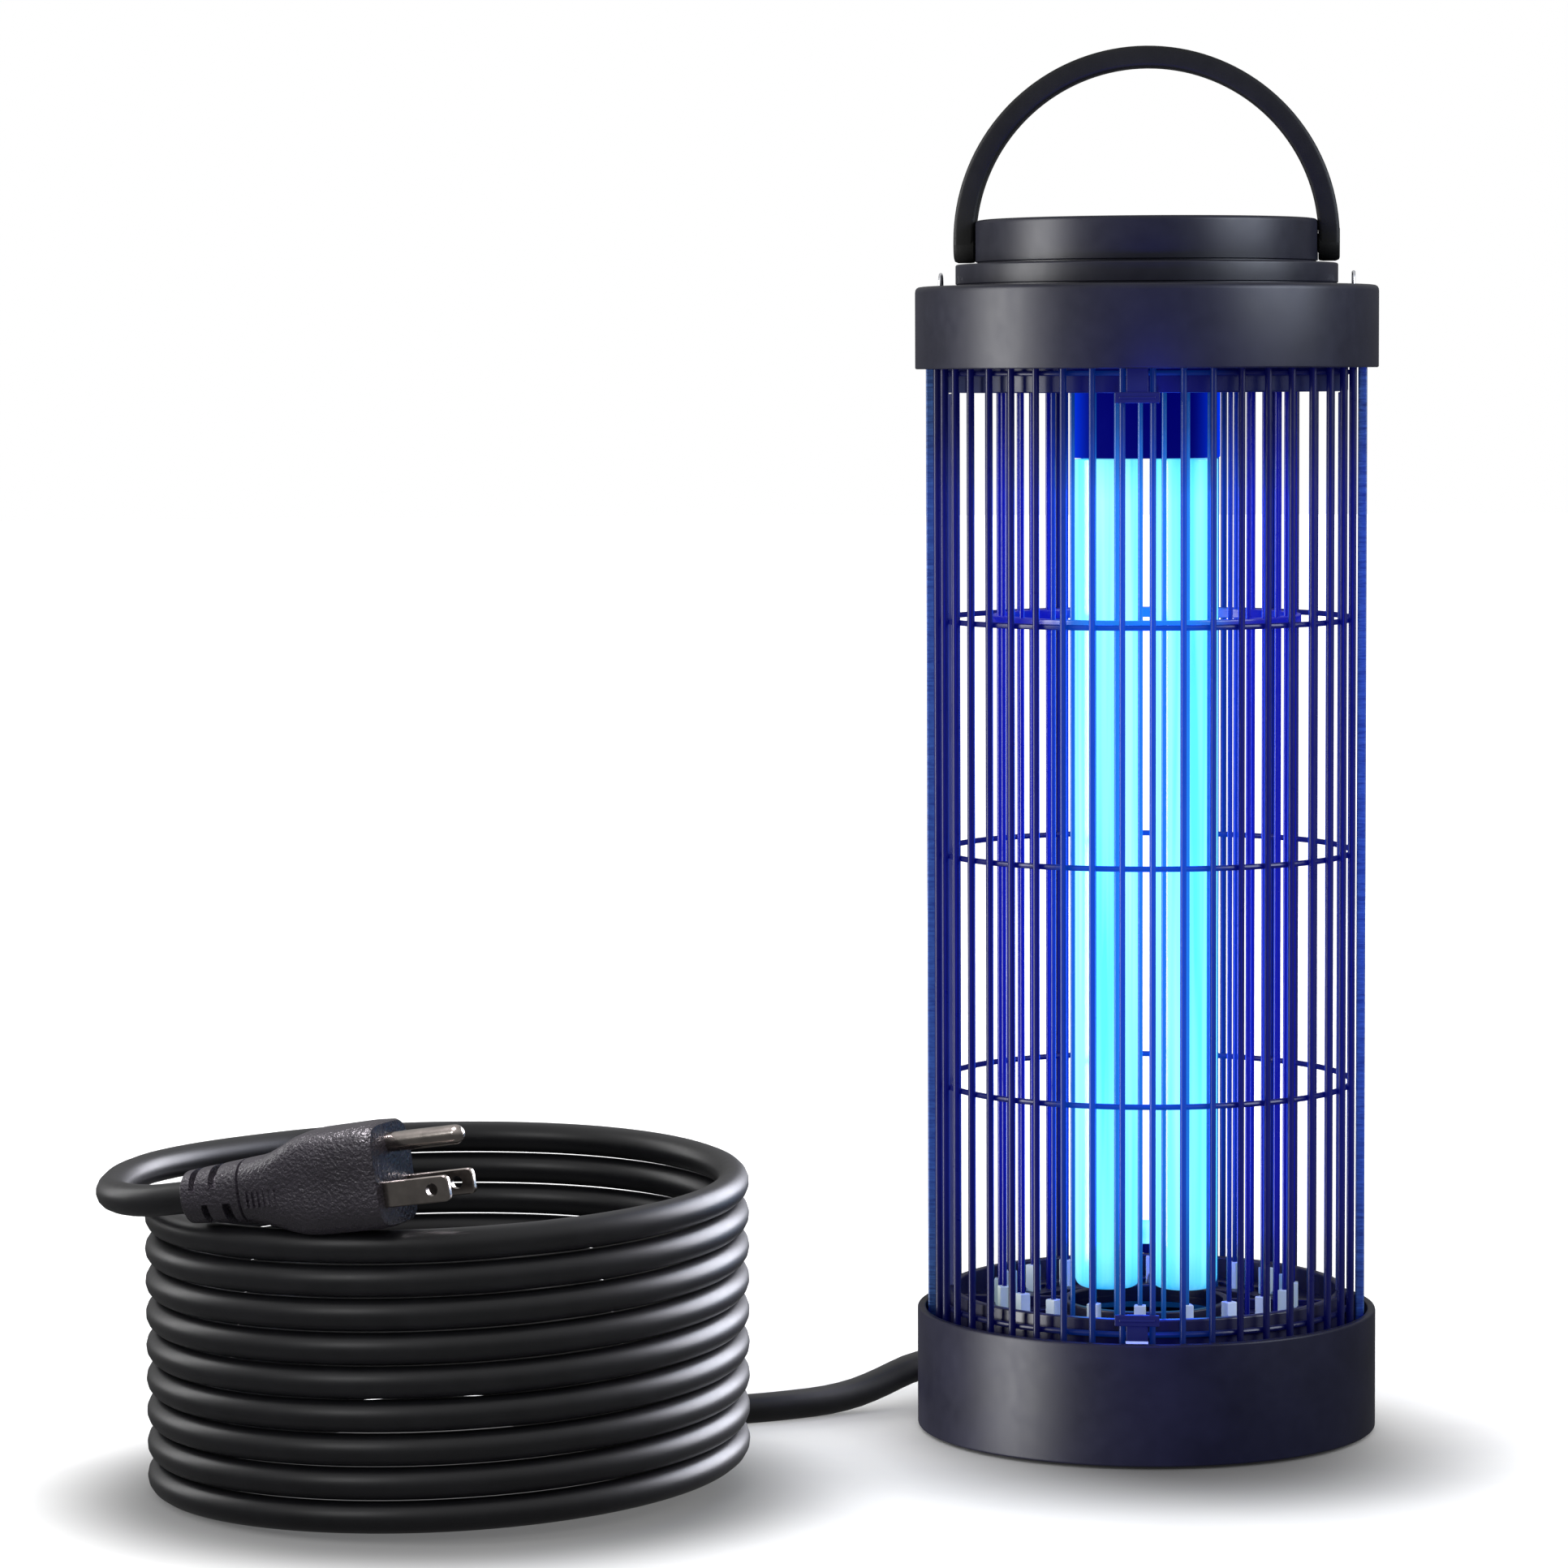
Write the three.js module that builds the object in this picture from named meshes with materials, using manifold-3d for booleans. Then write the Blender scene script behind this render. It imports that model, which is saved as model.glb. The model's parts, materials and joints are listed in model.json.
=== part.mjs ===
// Electric bug zapper: round base with a collection tray, a barred cage round a killing grid and a
// twin-tube lamp, a head with the electronics, a folding handle and a coiled mains cord.
// Millimetres, +Z up. The origin is on the floor, under the middle of the base.
// The front of the cage, where the latches are, faces -Y.

import * as THREE from 'three';
import { mergeVertices } from 'three/addons/utils/BufferGeometryUtils.js';
import Module from 'manifold-3d';

const wasm = await Module();
wasm.setup();

// ---- driving dimensions ----------------------------------------------------------------------

const GAP = 0.3;                 // between pieces that touch
const ROUND = 36;                // sides of a large turned piece
const SMALL_ROUND = 12;          // sides of a small turned piece

const SHELL_R = 61;              // outside of base and cap
const WALL = 2.4;
const BASE_BOTTOM = 0.8;
const BASE_TOP = 32.5;
const GROOVE_R = [54.0, 58.8];   // groove that takes the lower ends of the bars
const GROOVE_FLOOR = 25;
const SKIRT_R = [50.6, 53.0];    // ring walls of the deck and of the head plate
const DECK_Z = [29.7, 31.7];
const DECK_WALL_TOP = 37.6;
const LAMP_HOLE_R = 20.5;

const CAP_Z = [282, 303.6];
const SKIRT_BOTTOM = 275.8;
const PLATE_Z = [280, 282.4];
const HEAD_FLANGE_Z = [287.6, 290];
const CAP_MOUTH_R = 40;
const COLLAR_R = 50.3;
const COLLAR_TOP = 309;
const LID_R = 44.6;
const LID_TOP = 321;

const BARS_PER_HALF = 20;
const BAR_STEP = 8;              // degrees
const BAR_R = 55.95;
const BAR = { wide: 1.6, deep: 2.0 };
const BAR_Z = [GROOVE_FLOOR + GAP, HEAD_FLANGE_Z[0] - GAP];
const WIRE = 1.2;
const WIRE_R = 54.05;
const WIRE_HEIGHTS = { base: 34, low: 93, middle: 154.3, high: 216 };
const RIM_WIRE = { r: 54.6, height: 280.8 };

const GRID_R = 39;
const RODS_PER_GRID = 20;
const ROD = 1.3;
const LIVE_BUS_Z = [284, 285.5];
const NEUTRAL_BUS_Z = [25, 26.5];
const BUS_R = [38.2, 39.8];
const SLEEVE = { wide: 3, top: 39 };
const SPACER_R = [40.0, 41.2];
const SPACER_Z = [214.2, 217.8];

const TUBE_R = 8.75;
const TUBE_X = 10.2;
const TUBE_Z = [37.3, 258.2];
const HOLDER = { r: 19.5, bottom: 258.5, ceiling: 276.5 };
const LAMP_BASE_TOP = 270;

const TRAY = { r: 42.8, wall: 1.4, bottom: 2.6, top: 23.5 };
const PLATE_RING = { r: [43.6, 58.2], z: [2.5, 4.5] };
const FOOT = { r: 5, height: 2.2, circle: 50.5 };

const PIVOT_Z = 314.6;
const ARCH_Z = 315.6;
const ARCH_R = [45.2, 50.7];
const STRAP_DEPTH = 9.4;
const PIVOT_R = 2.5;

const CORD_R = 4;
const COIL = { x: -173.5, y: -89, r: 72.5, turns: 9, start: 75, pitch: 8.25 };
const COIL_TOP = 73.9;
const TAIL_TURN = 67;            // degrees of the tail that lie on top of the coil
const PORT = { x: -43.5, y: 42.6, z: 10.5, heading: 219, r: 8.5, length: 15 };
const BOOT = { length: 20, r: [6.6, 4.9] };

// ---- helpers ---------------------------------------------------------------------------------

const rad = THREE.MathUtils.degToRad;

function signedVolume(geometry) {
  const p = geometry.attributes.position;
  const index = geometry.index.array;
  const [a, b, c] = [new THREE.Vector3(), new THREE.Vector3(), new THREE.Vector3()];
  let six = 0;
  for (let i = 0; i < index.length; i += 3) {
    a.fromBufferAttribute(p, index[i]);
    b.fromBufferAttribute(p, index[i + 1]);
    c.fromBufferAttribute(p, index[i + 2]);
    six += a.dot(b.cross(c));
  }
  return six / 6;
}

// A closed solid from a three.js geometry: only positions, vertices shared, faces pointing out.
function solid(geometry) {
  const bare = new THREE.BufferGeometry();
  bare.setAttribute('position', geometry.attributes.position.clone());
  if (geometry.index) bare.setIndex(geometry.index.clone());
  const merged = mergeVertices(bare, 1e-4);
  const kept = [];
  const index = merged.index.array;
  for (let i = 0; i < index.length; i += 3) {
    const [a, b, c] = [index[i], index[i + 1], index[i + 2]];
    if (a !== b && b !== c && c !== a) kept.push(a, b, c);
  }
  merged.setIndex(kept);
  if (signedVolume(merged) < 0) {
    for (let i = 0; i < kept.length; i += 3) [kept[i], kept[i + 1]] = [kept[i + 1], kept[i]];
    merged.setIndex(kept);
  }
  return new wasm.Manifold(new wasm.Mesh({
    numProp: 3,
    vertProperties: new Float32Array(merged.attributes.position.array),
    triVerts: new Uint32Array(kept),
  }));
}

const join = (solids) => solids.reduce((whole, piece) => whole.add(piece));

const group = new THREE.Group();

function place(name, shape, material) {
  const mesh = shape.getMesh();
  const geometry = new THREE.BufferGeometry();
  geometry.setAttribute('position', new THREE.BufferAttribute(mesh.vertProperties, 3));
  geometry.setIndex(new THREE.BufferAttribute(mesh.triVerts, 1));
  geometry.computeVertexNormals();
  const placed = new THREE.Mesh(geometry, material);
  placed.name = name;
  group.add(placed);
}

// A turned piece: profile points are [radius, height].
function turned(profile, sides = ROUND) {
  const closed = [...profile, profile[0]];
  const points = closed.map(([r, z]) => new THREE.Vector2(r, z));
  return solid(new THREE.LatheGeometry(points, sides).rotateX(Math.PI / 2));
}

const ring = ([rIn, rOut], [z0, z1], sides = ROUND) =>
  turned([[rIn, z0], [rOut, z0], [rOut, z1], [rIn, z1]], sides);

function box([x0, x1], [y0, y1], [z0, z1]) {
  const geometry = new THREE.BoxGeometry(x1 - x0, y1 - y0, z1 - z0);
  return solid(geometry.translate((x0 + x1) / 2, (y0 + y1) / 2, (z0 + z1) / 2));
}

function cylinder(r, [z0, z1], sides = SMALL_ROUND, rTop = r) {
  const geometry = new THREE.CylinderGeometry(rTop, r, z1 - z0, sides).rotateX(Math.PI / 2);
  return solid(geometry.translate(0, 0, (z0 + z1) / 2));
}

function prism(shape, [z0, z1], curveSegments = 8) {
  const options = { depth: z1 - z0, bevelEnabled: false, curveSegments };
  return solid(new THREE.ExtrudeGeometry(shape, options).translate(0, 0, z0));
}

// Part of a flat ring, between two angles in degrees.
function sector([rIn, rOut], [a0, a1], heights, steps) {
  const shape = new THREE.Shape();
  shape.absarc(0, 0, rOut, rad(a0), rad(a1), false);
  shape.absarc(0, 0, rIn, rad(a1), rad(a0), true);
  return prism(shape, heights, steps);
}

function stadium(halfLength, halfWidth) {
  const shape = new THREE.Shape();
  const straight = halfLength - halfWidth;
  shape.absarc(straight, 0, halfWidth, -Math.PI / 2, Math.PI / 2, false);
  shape.absarc(-straight, 0, halfWidth, Math.PI / 2, 1.5 * Math.PI, false);
  return shape;
}

// Turns a solid made round the origin to an angle on a circle. Its local +X points outwards.
const around = (shape, angle) => shape.rotate([0, 0, angle]);

const plastic = (color, roughness = 0.5) =>
  new THREE.MeshStandardMaterial({ color, roughness, metalness: 0 });
const metal = (color, roughness = 0.3) =>
  new THREE.MeshStandardMaterial({ color, roughness, metalness: 1 });

const BLACK = plastic(0x1b1c20, 0.45);
const DARK_BLUE = plastic(0x0c1040, 0.4);
const CHARCOAL = metal(0x26272c, 0.4);
const STEEL = metal(0xc4c8d0, 0.3);
const WHITE = plastic(0xe6ebf2, 0.5);
const RUBBER = plastic(0x141416, 0.8);
const GLOW = new THREE.MeshStandardMaterial({ color: 0x8fefff, roughness: 0.2, emissive: 0x35c8ff });
const BOARD = plastic(0x1f6b3a, 0.6);
const CORD = plastic(0x101113, 0.4);

// ---- base ------------------------------------------------------------------------------------

// A solid made along +Z, laid along a heading in the floor plane from a start point.
function laidAlong(shape, heading, [x, y, z], pitch = 0) {
  return shape.rotate([0, 90 - pitch, 0]).rotate([0, 0, heading]).translate([x, y, z]);
}

function baseShell() {
  const [grooveIn, grooveOut] = GROOVE_R;
  const inner = SHELL_R - WALL;
  const underLedge = GROOVE_FLOOR - WALL;
  const shell = turned([
    [SHELL_R, BASE_BOTTOM], [SHELL_R, BASE_TOP - 0.6], [SHELL_R - 0.6, BASE_TOP],
    [grooveOut, BASE_TOP], [grooveOut, GROOVE_FLOOR], [grooveIn, GROOVE_FLOOR],
    [grooveIn, underLedge], [inner, underLedge], [inner, BASE_BOTTOM],
  ]);
  const hump = laidAlong(cylinder(PORT.r, [-PORT.length, 0]), PORT.heading, [PORT.x, PORT.y, PORT.z]);
  const inside = cylinder(inner, [BASE_BOTTOM - 1, underLedge], ROUND);
  return shell.add(hump.subtract(inside));
}
place('base_shell', baseShell(), BLACK);

place('base_plate', ring(PLATE_RING.r, PLATE_RING.z), BLACK);

for (const [name, angle] of [['front_right', -45], ['back_right', 45],
  ['back_left', 135], ['front_left', -135]]) {
  const foot = cylinder(FOOT.r, [0, FOOT.height]).translate([FOOT.circle, 0, 0]);
  place(`foot_${name}`, around(foot, angle), RUBBER);
}

function baseDeck() {
  const [skirtIn, skirtOut] = SKIRT_R;
  const flangeR = 58;
  const flangeZ = [20, GROOVE_FLOOR - WALL - GAP];
  let deck = turned([
    [LAMP_HOLE_R, DECK_Z[0]], [skirtIn, DECK_Z[0]], [skirtIn, flangeZ[0]], [flangeR, flangeZ[0]],
    [flangeR, flangeZ[1]], [skirtOut, flangeZ[1]], [skirtOut, DECK_WALL_TOP],
    [skirtIn, DECK_WALL_TOP], [skirtIn, DECK_Z[1]], [LAMP_HOLE_R, DECK_Z[1]],
  ]);
  const through = [DECK_Z[0] - 1, DECK_Z[1] + 1];
  const window = sector([24, 35], [-33, 33], through, 4);
  for (let i = 0; i < 4; i++) deck = deck.subtract(around(window, 45 + 90 * i));
  const rodHole = cylinder(1.6, through, 4).translate([GRID_R, 0, 0]);
  for (let i = 0; i < RODS_PER_GRID; i++) deck = deck.subtract(around(rodHole, rodAngle(i, 0.5)));
  return deck;
}

// Live rods stand at whole steps from the front, neutral rods half a step further.
function rodAngle(i, offset) {
  return -90 + (i + offset) * (360 / RODS_PER_GRID);
}
place('base_deck', baseDeck(), BLACK);

function collectionTray() {
  const { r, wall, bottom, top } = TRAY;
  const cup = turned([
    [0, bottom], [r - 0.8, bottom], [r, bottom + 0.8], [r, top], [r - wall, top],
    [r - wall, bottom + 1.8], [0, bottom + 1.8],
  ]);
  return cup.add(box([-18, 18], [-2, 2], [BASE_BOTTOM + 0.1, bottom + 0.5]));
}
place('collection_tray', collectionTray(), BLACK);

const onPlate = PLATE_RING.z[1] + GAP;
place('terminal_block',
  around(box([46, 55], [-10, 10], [onPlate, onPlate + 9]), 108), WHITE);
place('fuse_holder',
  around(cylinder(4, [-11, 11], 8).rotate([90, 0, 0]).translate([50.5, 0, onPlate + 4]), 60), BLACK);

// ---- cage ------------------------------------------------------------------------------------

function halfCage(front) {
  const bar = box([BAR_R - BAR.deep / 2, BAR_R + BAR.deep / 2], [-BAR.wide / 2, BAR.wide / 2], BAR_Z);
  const pieces = [];
  for (let i = 0; i < BARS_PER_HALF; i++) {
    pieces.push(around(bar, front + (i - (BARS_PER_HALF - 1) / 2) * BAR_STEP));
  }
  const { r, height } = RIM_WIRE;
  const half = WIRE / 2;
  pieces.push(sector([r - half, r + half], [front - 87, front + 87], [height - half, height + half], 22));
  return join(pieces);
}
place('cage_front', halfCage(-90), CHARCOAL);
place('cage_rear', halfCage(90), CHARCOAL);
for (const [name, height] of Object.entries(WIRE_HEIGHTS)) {
  const half = WIRE / 2;
  const wire = ring([WIRE_R - half, WIRE_R + half], [height - half, height + half], 32);
  place(`cage_wire_${name}`, wire, CHARCOAL);
}

const post = box([55.6, 58], [-5, 5], BAR_Z);

function wireDuct() {
  const [low, high] = [50.4, 52.6];
  const shape = new THREE.Shape();
  shape.moveTo(high, -6);
  shape.lineTo(high, -5);
  shape.lineTo(low + 0.9, -5);
  shape.lineTo(low + 0.9, 5);
  shape.lineTo(high, 5);
  shape.lineTo(high, 6);
  shape.lineTo(low, 6);
  shape.lineTo(low, -6);
  return prism(shape, [DECK_WALL_TOP + GAP, SKIRT_BOTTOM - GAP]);
}
for (const [side, angle] of [['right', 0], ['left', 180]]) {
  place(`post_${side}`, around(post, angle), CHARCOAL);
  place(`wire_duct_${side}`, around(wireDuct(), angle), CHARCOAL);
}

// A T-shaped clip: its stem stands between two bars and its head reaches in front of them.
function clip([headLow, headHigh], [stemLow, stemHigh]) {
  const stem = box([56.9, 57.9], [-2.8, 2.8], [stemLow, stemHigh]);
  const head = box([57.25, 58.3], [-5.75, 5.75], [headLow, headHigh]);
  return stem.add(head);
}
const strip = box([54.8, 55.2], [-2.9, 2.9], [GROOVE_FLOOR + GAP, 31]);
for (const [side, angle] of [['front', -90], ['rear', 90]]) {
  const base = clip([36.8, 39.7], [GROOVE_FLOOR + GAP, 39.7]);
  const top = clip([273.2, 276], [273.2, HEAD_FLANGE_Z[0] - GAP]);
  place(`clip_${side}_base`, around(base, angle), BLACK);
  place(`clip_${side}_top`, around(top, angle), BLACK);
  place(`latch_strip_${side}`, around(strip, angle), STEEL);
}

// ---- killing grid ----------------------------------------------------------------------------

function rodGrid(offset, [z0, z1], busZ) {
  const half = ROD / 2;
  const rod = box([GRID_R - half, GRID_R + half], [-half, half], [z0, z1]);
  const pieces = [ring(BUS_R, busZ, 40)];
  for (let i = 0; i < RODS_PER_GRID; i++) pieces.push(around(rod, rodAngle(i, offset)));
  return join(pieces);
}
place('grid_live', rodGrid(0, [SLEEVE.top + GAP, LIVE_BUS_Z[1] - 0.5], LIVE_BUS_Z), CHARCOAL);
place('grid_neutral', rodGrid(0.5, [NEUTRAL_BUS_Z[0] + 0.5, PLATE_Z[0] - GAP], NEUTRAL_BUS_Z), CHARCOAL);

function sleeveRing() {
  const half = SLEEVE.wide / 2;
  const foot = DECK_Z[1] + GAP;
  const sleeve = box([GRID_R - half, GRID_R + half], [-half, half], [foot, SLEEVE.top]);
  const pieces = [ring([40.2, 42], [foot, foot + 0.9], 40)];
  for (let i = 0; i < RODS_PER_GRID; i++) pieces.push(around(sleeve, rodAngle(i, 0)));
  return join(pieces);
}
place('sleeve_ring', sleeveRing(), WHITE);
place('grid_spacer', ring(SPACER_R, SPACER_Z), BLACK);

// ---- lamp ------------------------------------------------------------------------------------

function lampTube() {
  const profile = [[0, TUBE_Z[1]], [TUBE_R, TUBE_Z[1]]];
  const roundSteps = 4;
  for (let i = 0; i <= roundSteps; i++) {
    const a = (i / roundSteps) * (Math.PI / 2);
    profile.push([TUBE_R * Math.cos(a), TUBE_Z[0] + TUBE_R * (1 - Math.sin(a))]);
  }
  const tube = turned(profile, 16);
  const bridge = cylinder(3.2, [-TUBE_X, TUBE_X], 10).rotate([0, 90, 0]).translate([0, 0, 52]);
  return join([tube.translate([TUBE_X, 0, 0]), tube.translate([-TUBE_X, 0, 0]), bridge]);
}
place('lamp_tube', lampTube(), GLOW);

function lampBase() {
  const pieces = [prism(stadium(17.6, 7.6), [HOLDER.bottom, LAMP_BASE_TOP], 6)];
  const pin = cylinder(1.2, [LAMP_BASE_TOP - 1, 275], 8);
  for (const x of [-12, -4, 4, 12]) pieces.push(pin.translate([x, 0, 0]));
  return join(pieces);
}
place('lamp_base', lampBase(), DARK_BLUE);

function lampHolder() {
  const body = cylinder(HOLDER.r, [HOLDER.bottom, PLATE_Z[0] - GAP], 24);
  return body.subtract(prism(stadium(18.2, 8.2), [HOLDER.bottom - 1, HOLDER.ceiling], 6));
}
place('lamp_holder', lampHolder(), DARK_BLUE);

// ---- head ------------------------------------------------------------------------------------

function headPlate() {
  const [skirtIn, skirtOut] = SKIRT_R;
  const flangeR = 58.2;
  let plate = turned([
    [0, PLATE_Z[0]], [skirtIn, PLATE_Z[0]], [skirtIn, SKIRT_BOTTOM], [skirtOut, SKIRT_BOTTOM],
    [skirtOut, HEAD_FLANGE_Z[0]], [flangeR, HEAD_FLANGE_Z[0]], [flangeR, HEAD_FLANGE_Z[1]],
    [skirtIn, HEAD_FLANGE_Z[1]], [skirtIn, PLATE_Z[1]], [0, PLATE_Z[1]],
  ]);
  const hole = cylinder(1.6, [PLATE_Z[0] - 1, PLATE_Z[1] + 1], 4).translate([GRID_R, 0, 0]);
  for (let i = 0; i < RODS_PER_GRID; i++) plate = plate.subtract(around(hole, rodAngle(i, 0)));
  return plate;
}
place('head_plate', headPlate(), BLACK);

function topCap() {
  const [low, high] = CAP_Z;
  const inner = SHELL_R - WALL;
  return turned([
    [inner, low], [SHELL_R, low], [SHELL_R, high - 1.2], [SHELL_R - 1.2, high],
    [CAP_MOUTH_R, high], [CAP_MOUTH_R, high - WALL], [inner, high - WALL],
  ]);
}
place('top_cap', topCap(), BLACK);

place('collar', turned([
  [CAP_MOUTH_R, CAP_Z[1] + GAP], [COLLAR_R, CAP_Z[1] + GAP], [COLLAR_R, COLLAR_TOP - 0.5],
  [COLLAR_R - 0.5, COLLAR_TOP], [CAP_MOUTH_R, COLLAR_TOP],
]), BLACK);

function topLid() {
  const inner = LID_R - 2;
  const cup = turned([
    [inner, COLLAR_TOP + GAP], [LID_R, COLLAR_TOP + GAP], [LID_R, LID_TOP - 0.8],
    [LID_R - 0.8, LID_TOP], [0, LID_TOP], [0, LID_TOP - 2], [inner, LID_TOP - 2],
  ]);
  const bores = cylinder(PIVOT_R + 0.4, [-60, 60]).rotate([0, 90, 0]).translate([0, 0, PIVOT_Z]);
  return cup.subtract(bores);
}
place('top_lid', topLid(), BLACK);

const onHeadPlate = PLATE_Z[1] + GAP;
place('ballast', box([-26, 26], [-11, 11], [onHeadPlate, onHeadPlate + 17]), WHITE);
place('transformer', box([-11, 11], [13, 31], [onHeadPlate, onHeadPlate + 16]), CHARCOAL);
place('capacitor', cylinder(6.5, [onHeadPlate, onHeadPlate + 15]).translate([0, -21, 0]), DARK_BLUE);
place('circuit_board', box([-29, 29], [-19, 19], [304, 305.6]), BOARD);

function hangingEye() {
  const shape = new THREE.Shape();
  shape.moveTo(3.2, 0);
  shape.absarc(0, 0.6, 3.2, 0, Math.PI, false);
  shape.lineTo(-3.2, 0);
  shape.lineTo(-2.1, 0);
  shape.absarc(0, 0.6, 2.1, Math.PI, 0, true);
  shape.lineTo(2.1, 0);
  const loop = prism(shape, [-0.5, 0.5], 8).rotate([90, 0, 90]);
  return loop.translate([54.3, 0, CAP_Z[1] + GAP]);
}
place('hanging_eye_right', hangingEye(), STEEL);
place('hanging_eye_left', around(hangingEye(), 180), STEEL);

// ---- handle ----------------------------------------------------------------------------------

function handle() {
  const shape = new THREE.Shape();
  const foot = PIVOT_Z - ARCH_Z;
  shape.moveTo(ARCH_R[1], foot);
  shape.absarc(0, 0, ARCH_R[1], 0, Math.PI, false);
  shape.lineTo(-ARCH_R[1], foot);
  shape.lineTo(-ARCH_R[0], foot);
  shape.absarc(0, 0, ARCH_R[0], Math.PI, 0, true);
  shape.lineTo(ARCH_R[0], foot);
  const strap = prism(shape, [-STRAP_DEPTH / 2, STRAP_DEPTH / 2], 18)
    .rotate([90, 0, 0]).translate([0, 0, ARCH_Z]);
  const pieces = [strap];
  for (const side of [1, -1]) {
    const end = cylinder(STRAP_DEPTH / 2, ARCH_R, 12).rotate([0, 90, 0]);
    const stub = cylinder(PIVOT_R, [40.0, ARCH_R[0] + 1]).rotate([0, 90, 0]);
    pieces.push(around(end.add(stub), side > 0 ? 0 : 180).translate([0, 0, PIVOT_Z]));
  }
  return join(pieces);
}
place('handle', handle(), BLACK);

const pivotClip = ring([PIVOT_R + GAP, 4.1], [40.3, 41.8], SMALL_ROUND).rotate([0, 90, 0]);
place('pivot_clip_right', pivotClip.translate([0, 0, PIVOT_Z]), STEEL);
place('pivot_clip_left', around(pivotClip, 180).translate([0, 0, PIVOT_Z]), STEEL);

// ---- mains cord ------------------------------------------------------------------------------

// The cord leaves the port, drops to the floor and curves to the coil behind its right side.
const bootEnd = new THREE.Vector3(
  PORT.x + (GAP + BOOT.length) * Math.cos(rad(PORT.heading)),
  PORT.y + (GAP + BOOT.length) * Math.sin(rad(PORT.heading)), PORT.z);

const RUN_POINTS = [
  [-66.0, 24.2, 9.3],
  [-72.3, 18.6, 7.0],
  [-79.0, 12.4, 5.0],
  [-86.2, 6.0, 4.1],
  [-94.0, -0.2, 4.0],
  [-102.8, -5.9, 4.0],
  [-112.5, -10.6, 4.0],
  [-123.0, -14.2, 4.0],
  [-134.0, -16.6, 4.0],
  [-145.3, -17.6, 4.0],
];

function coilPoint(angle, z) {
  const a = rad(angle);
  return new THREE.Vector3(COIL.x + COIL.r * Math.cos(a), COIL.y + COIL.r * Math.sin(a), z);
}

function tubeAlong(points, stepLength) {
  const curve = new THREE.CatmullRomCurve3(points, false, 'centripetal');
  const section = new THREE.Shape();
  section.absarc(0, 0, CORD_R, 0, 2 * Math.PI, false);
  const steps = Math.ceil(curve.getLength() / stepLength);
  const options = { steps, extrudePath: curve, curveSegments: 4, bevelEnabled: false };
  return solid(new THREE.ExtrudeGeometry(section, options));
}

function cordRun(coil) {
  const exit = bootEnd.clone();
  exit.x += 2 * GAP * Math.cos(rad(PORT.heading));
  exit.y += 2 * GAP * Math.sin(rad(PORT.heading));
  const points = [exit, ...RUN_POINTS.map((p) => new THREE.Vector3(...p))];
  return tubeAlong(points, 12).subtract(coil);
}

function cordTail(coil, plugRear) {
  const z = 4 + COIL.pitch * COIL.turns;
  const points = [];
  for (let turn = 2; turn <= TAIL_TURN; turn += 13) {
    points.push(coilPoint(COIL.start + turn, z));
  }
  points.push(...TAIL_BEND.map((p) => new THREE.Vector3(...p)), plugRear);
  return tubeAlong(points, 14).subtract(coil);
}

const coilRadii = [COIL.r - CORD_R, COIL.r + CORD_R];
const coil = ring(coilRadii, [0, COIL_TOP]).translate([COIL.x, COIL.y, 0]);
const coilRoom = ring([COIL.r - CORD_R - GAP, COIL.r + CORD_R + GAP], [-1, COIL_TOP + GAP])
  .translate([COIL.x, COIL.y, 0]);

// The plug lies on the coil's front left rim. It is made along +X, its earth pin above its blades.
const PLUG = { rear: [-227.3, -144.6, 81.1], heading: -18, pitch: 9, length: 57, thick: 21 };
const TAIL_BEND = [
  [-237.9, -53.0, 78.3],
  [-246.2, -64.6, 78.2],
  [-252.6, -77.4, 78.0],
  [-255.8, -91.5, 77.7],
  [-255.7, -106.0, 77.5],
  [-253.2, -118.8, 77.6],
  [-247.5, -130.0, 78.1],
  [-238.8, -138.9, 79.1],
];

function inPlugFrame(shape) {
  return shape.rotate([0, -PLUG.pitch, PLUG.heading]).translate(PLUG.rear);
}

function plugBody() {
  const outline = [
    [0, -6.5], [18, -8], [24, -9.5], [34, -12.4], [52, -12.8], [57, -10.5],
    [57, 10.5], [52, 13.2], [38, 12.6], [26, 8.6], [18, 8], [0, 6.5],
  ];
  const shape = new THREE.Shape(outline.map(([x, z]) => new THREE.Vector2(x, z)));
  const side = prism(shape, [-PLUG.thick / 2, PLUG.thick / 2]).rotate([90, 0, 0]);
  const plan = new THREE.Shape([
    [-1, -6.5], [18, -8], [30, -10.5], [54, -10.5], [58, -8.5],
    [58, 8.5], [54, 10.5], [30, 10.5], [18, 8], [-1, 6.5],
  ].map(([x, y]) => new THREE.Vector2(x, y)));
  return side.intersect(prism(plan, [-20, 20]));
}
place('plug_body', inPlugFrame(plugBody()), CORD);

const pinFoot = PLUG.length + GAP;
for (const [name, y] of [['left', 6.35], ['right', -6.35]]) {
  const blade = box([pinFoot, pinFoot + 17.5], [y - 0.75, y + 0.75], [-7.4, -1.1]);
  place(`plug_blade_${name}`, inPlugFrame(blade), STEEL);
}
const earthPin = cylinder(2.4, [pinFoot, pinFoot + 20]).rotate([0, 90, 0]).translate([0, 0, 7.7]);
place('plug_earth_pin', inPlugFrame(earthPin), STEEL);

const boot = laidAlong(cylinder(BOOT.r[0], [GAP, GAP + BOOT.length], SMALL_ROUND, BOOT.r[1]),
  PORT.heading, [PORT.x, PORT.y, PORT.z]);
place('cord_gland', boot.subtract(cylinder(SHELL_R + GAP, [-1, 40], ROUND)), RUBBER);

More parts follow.
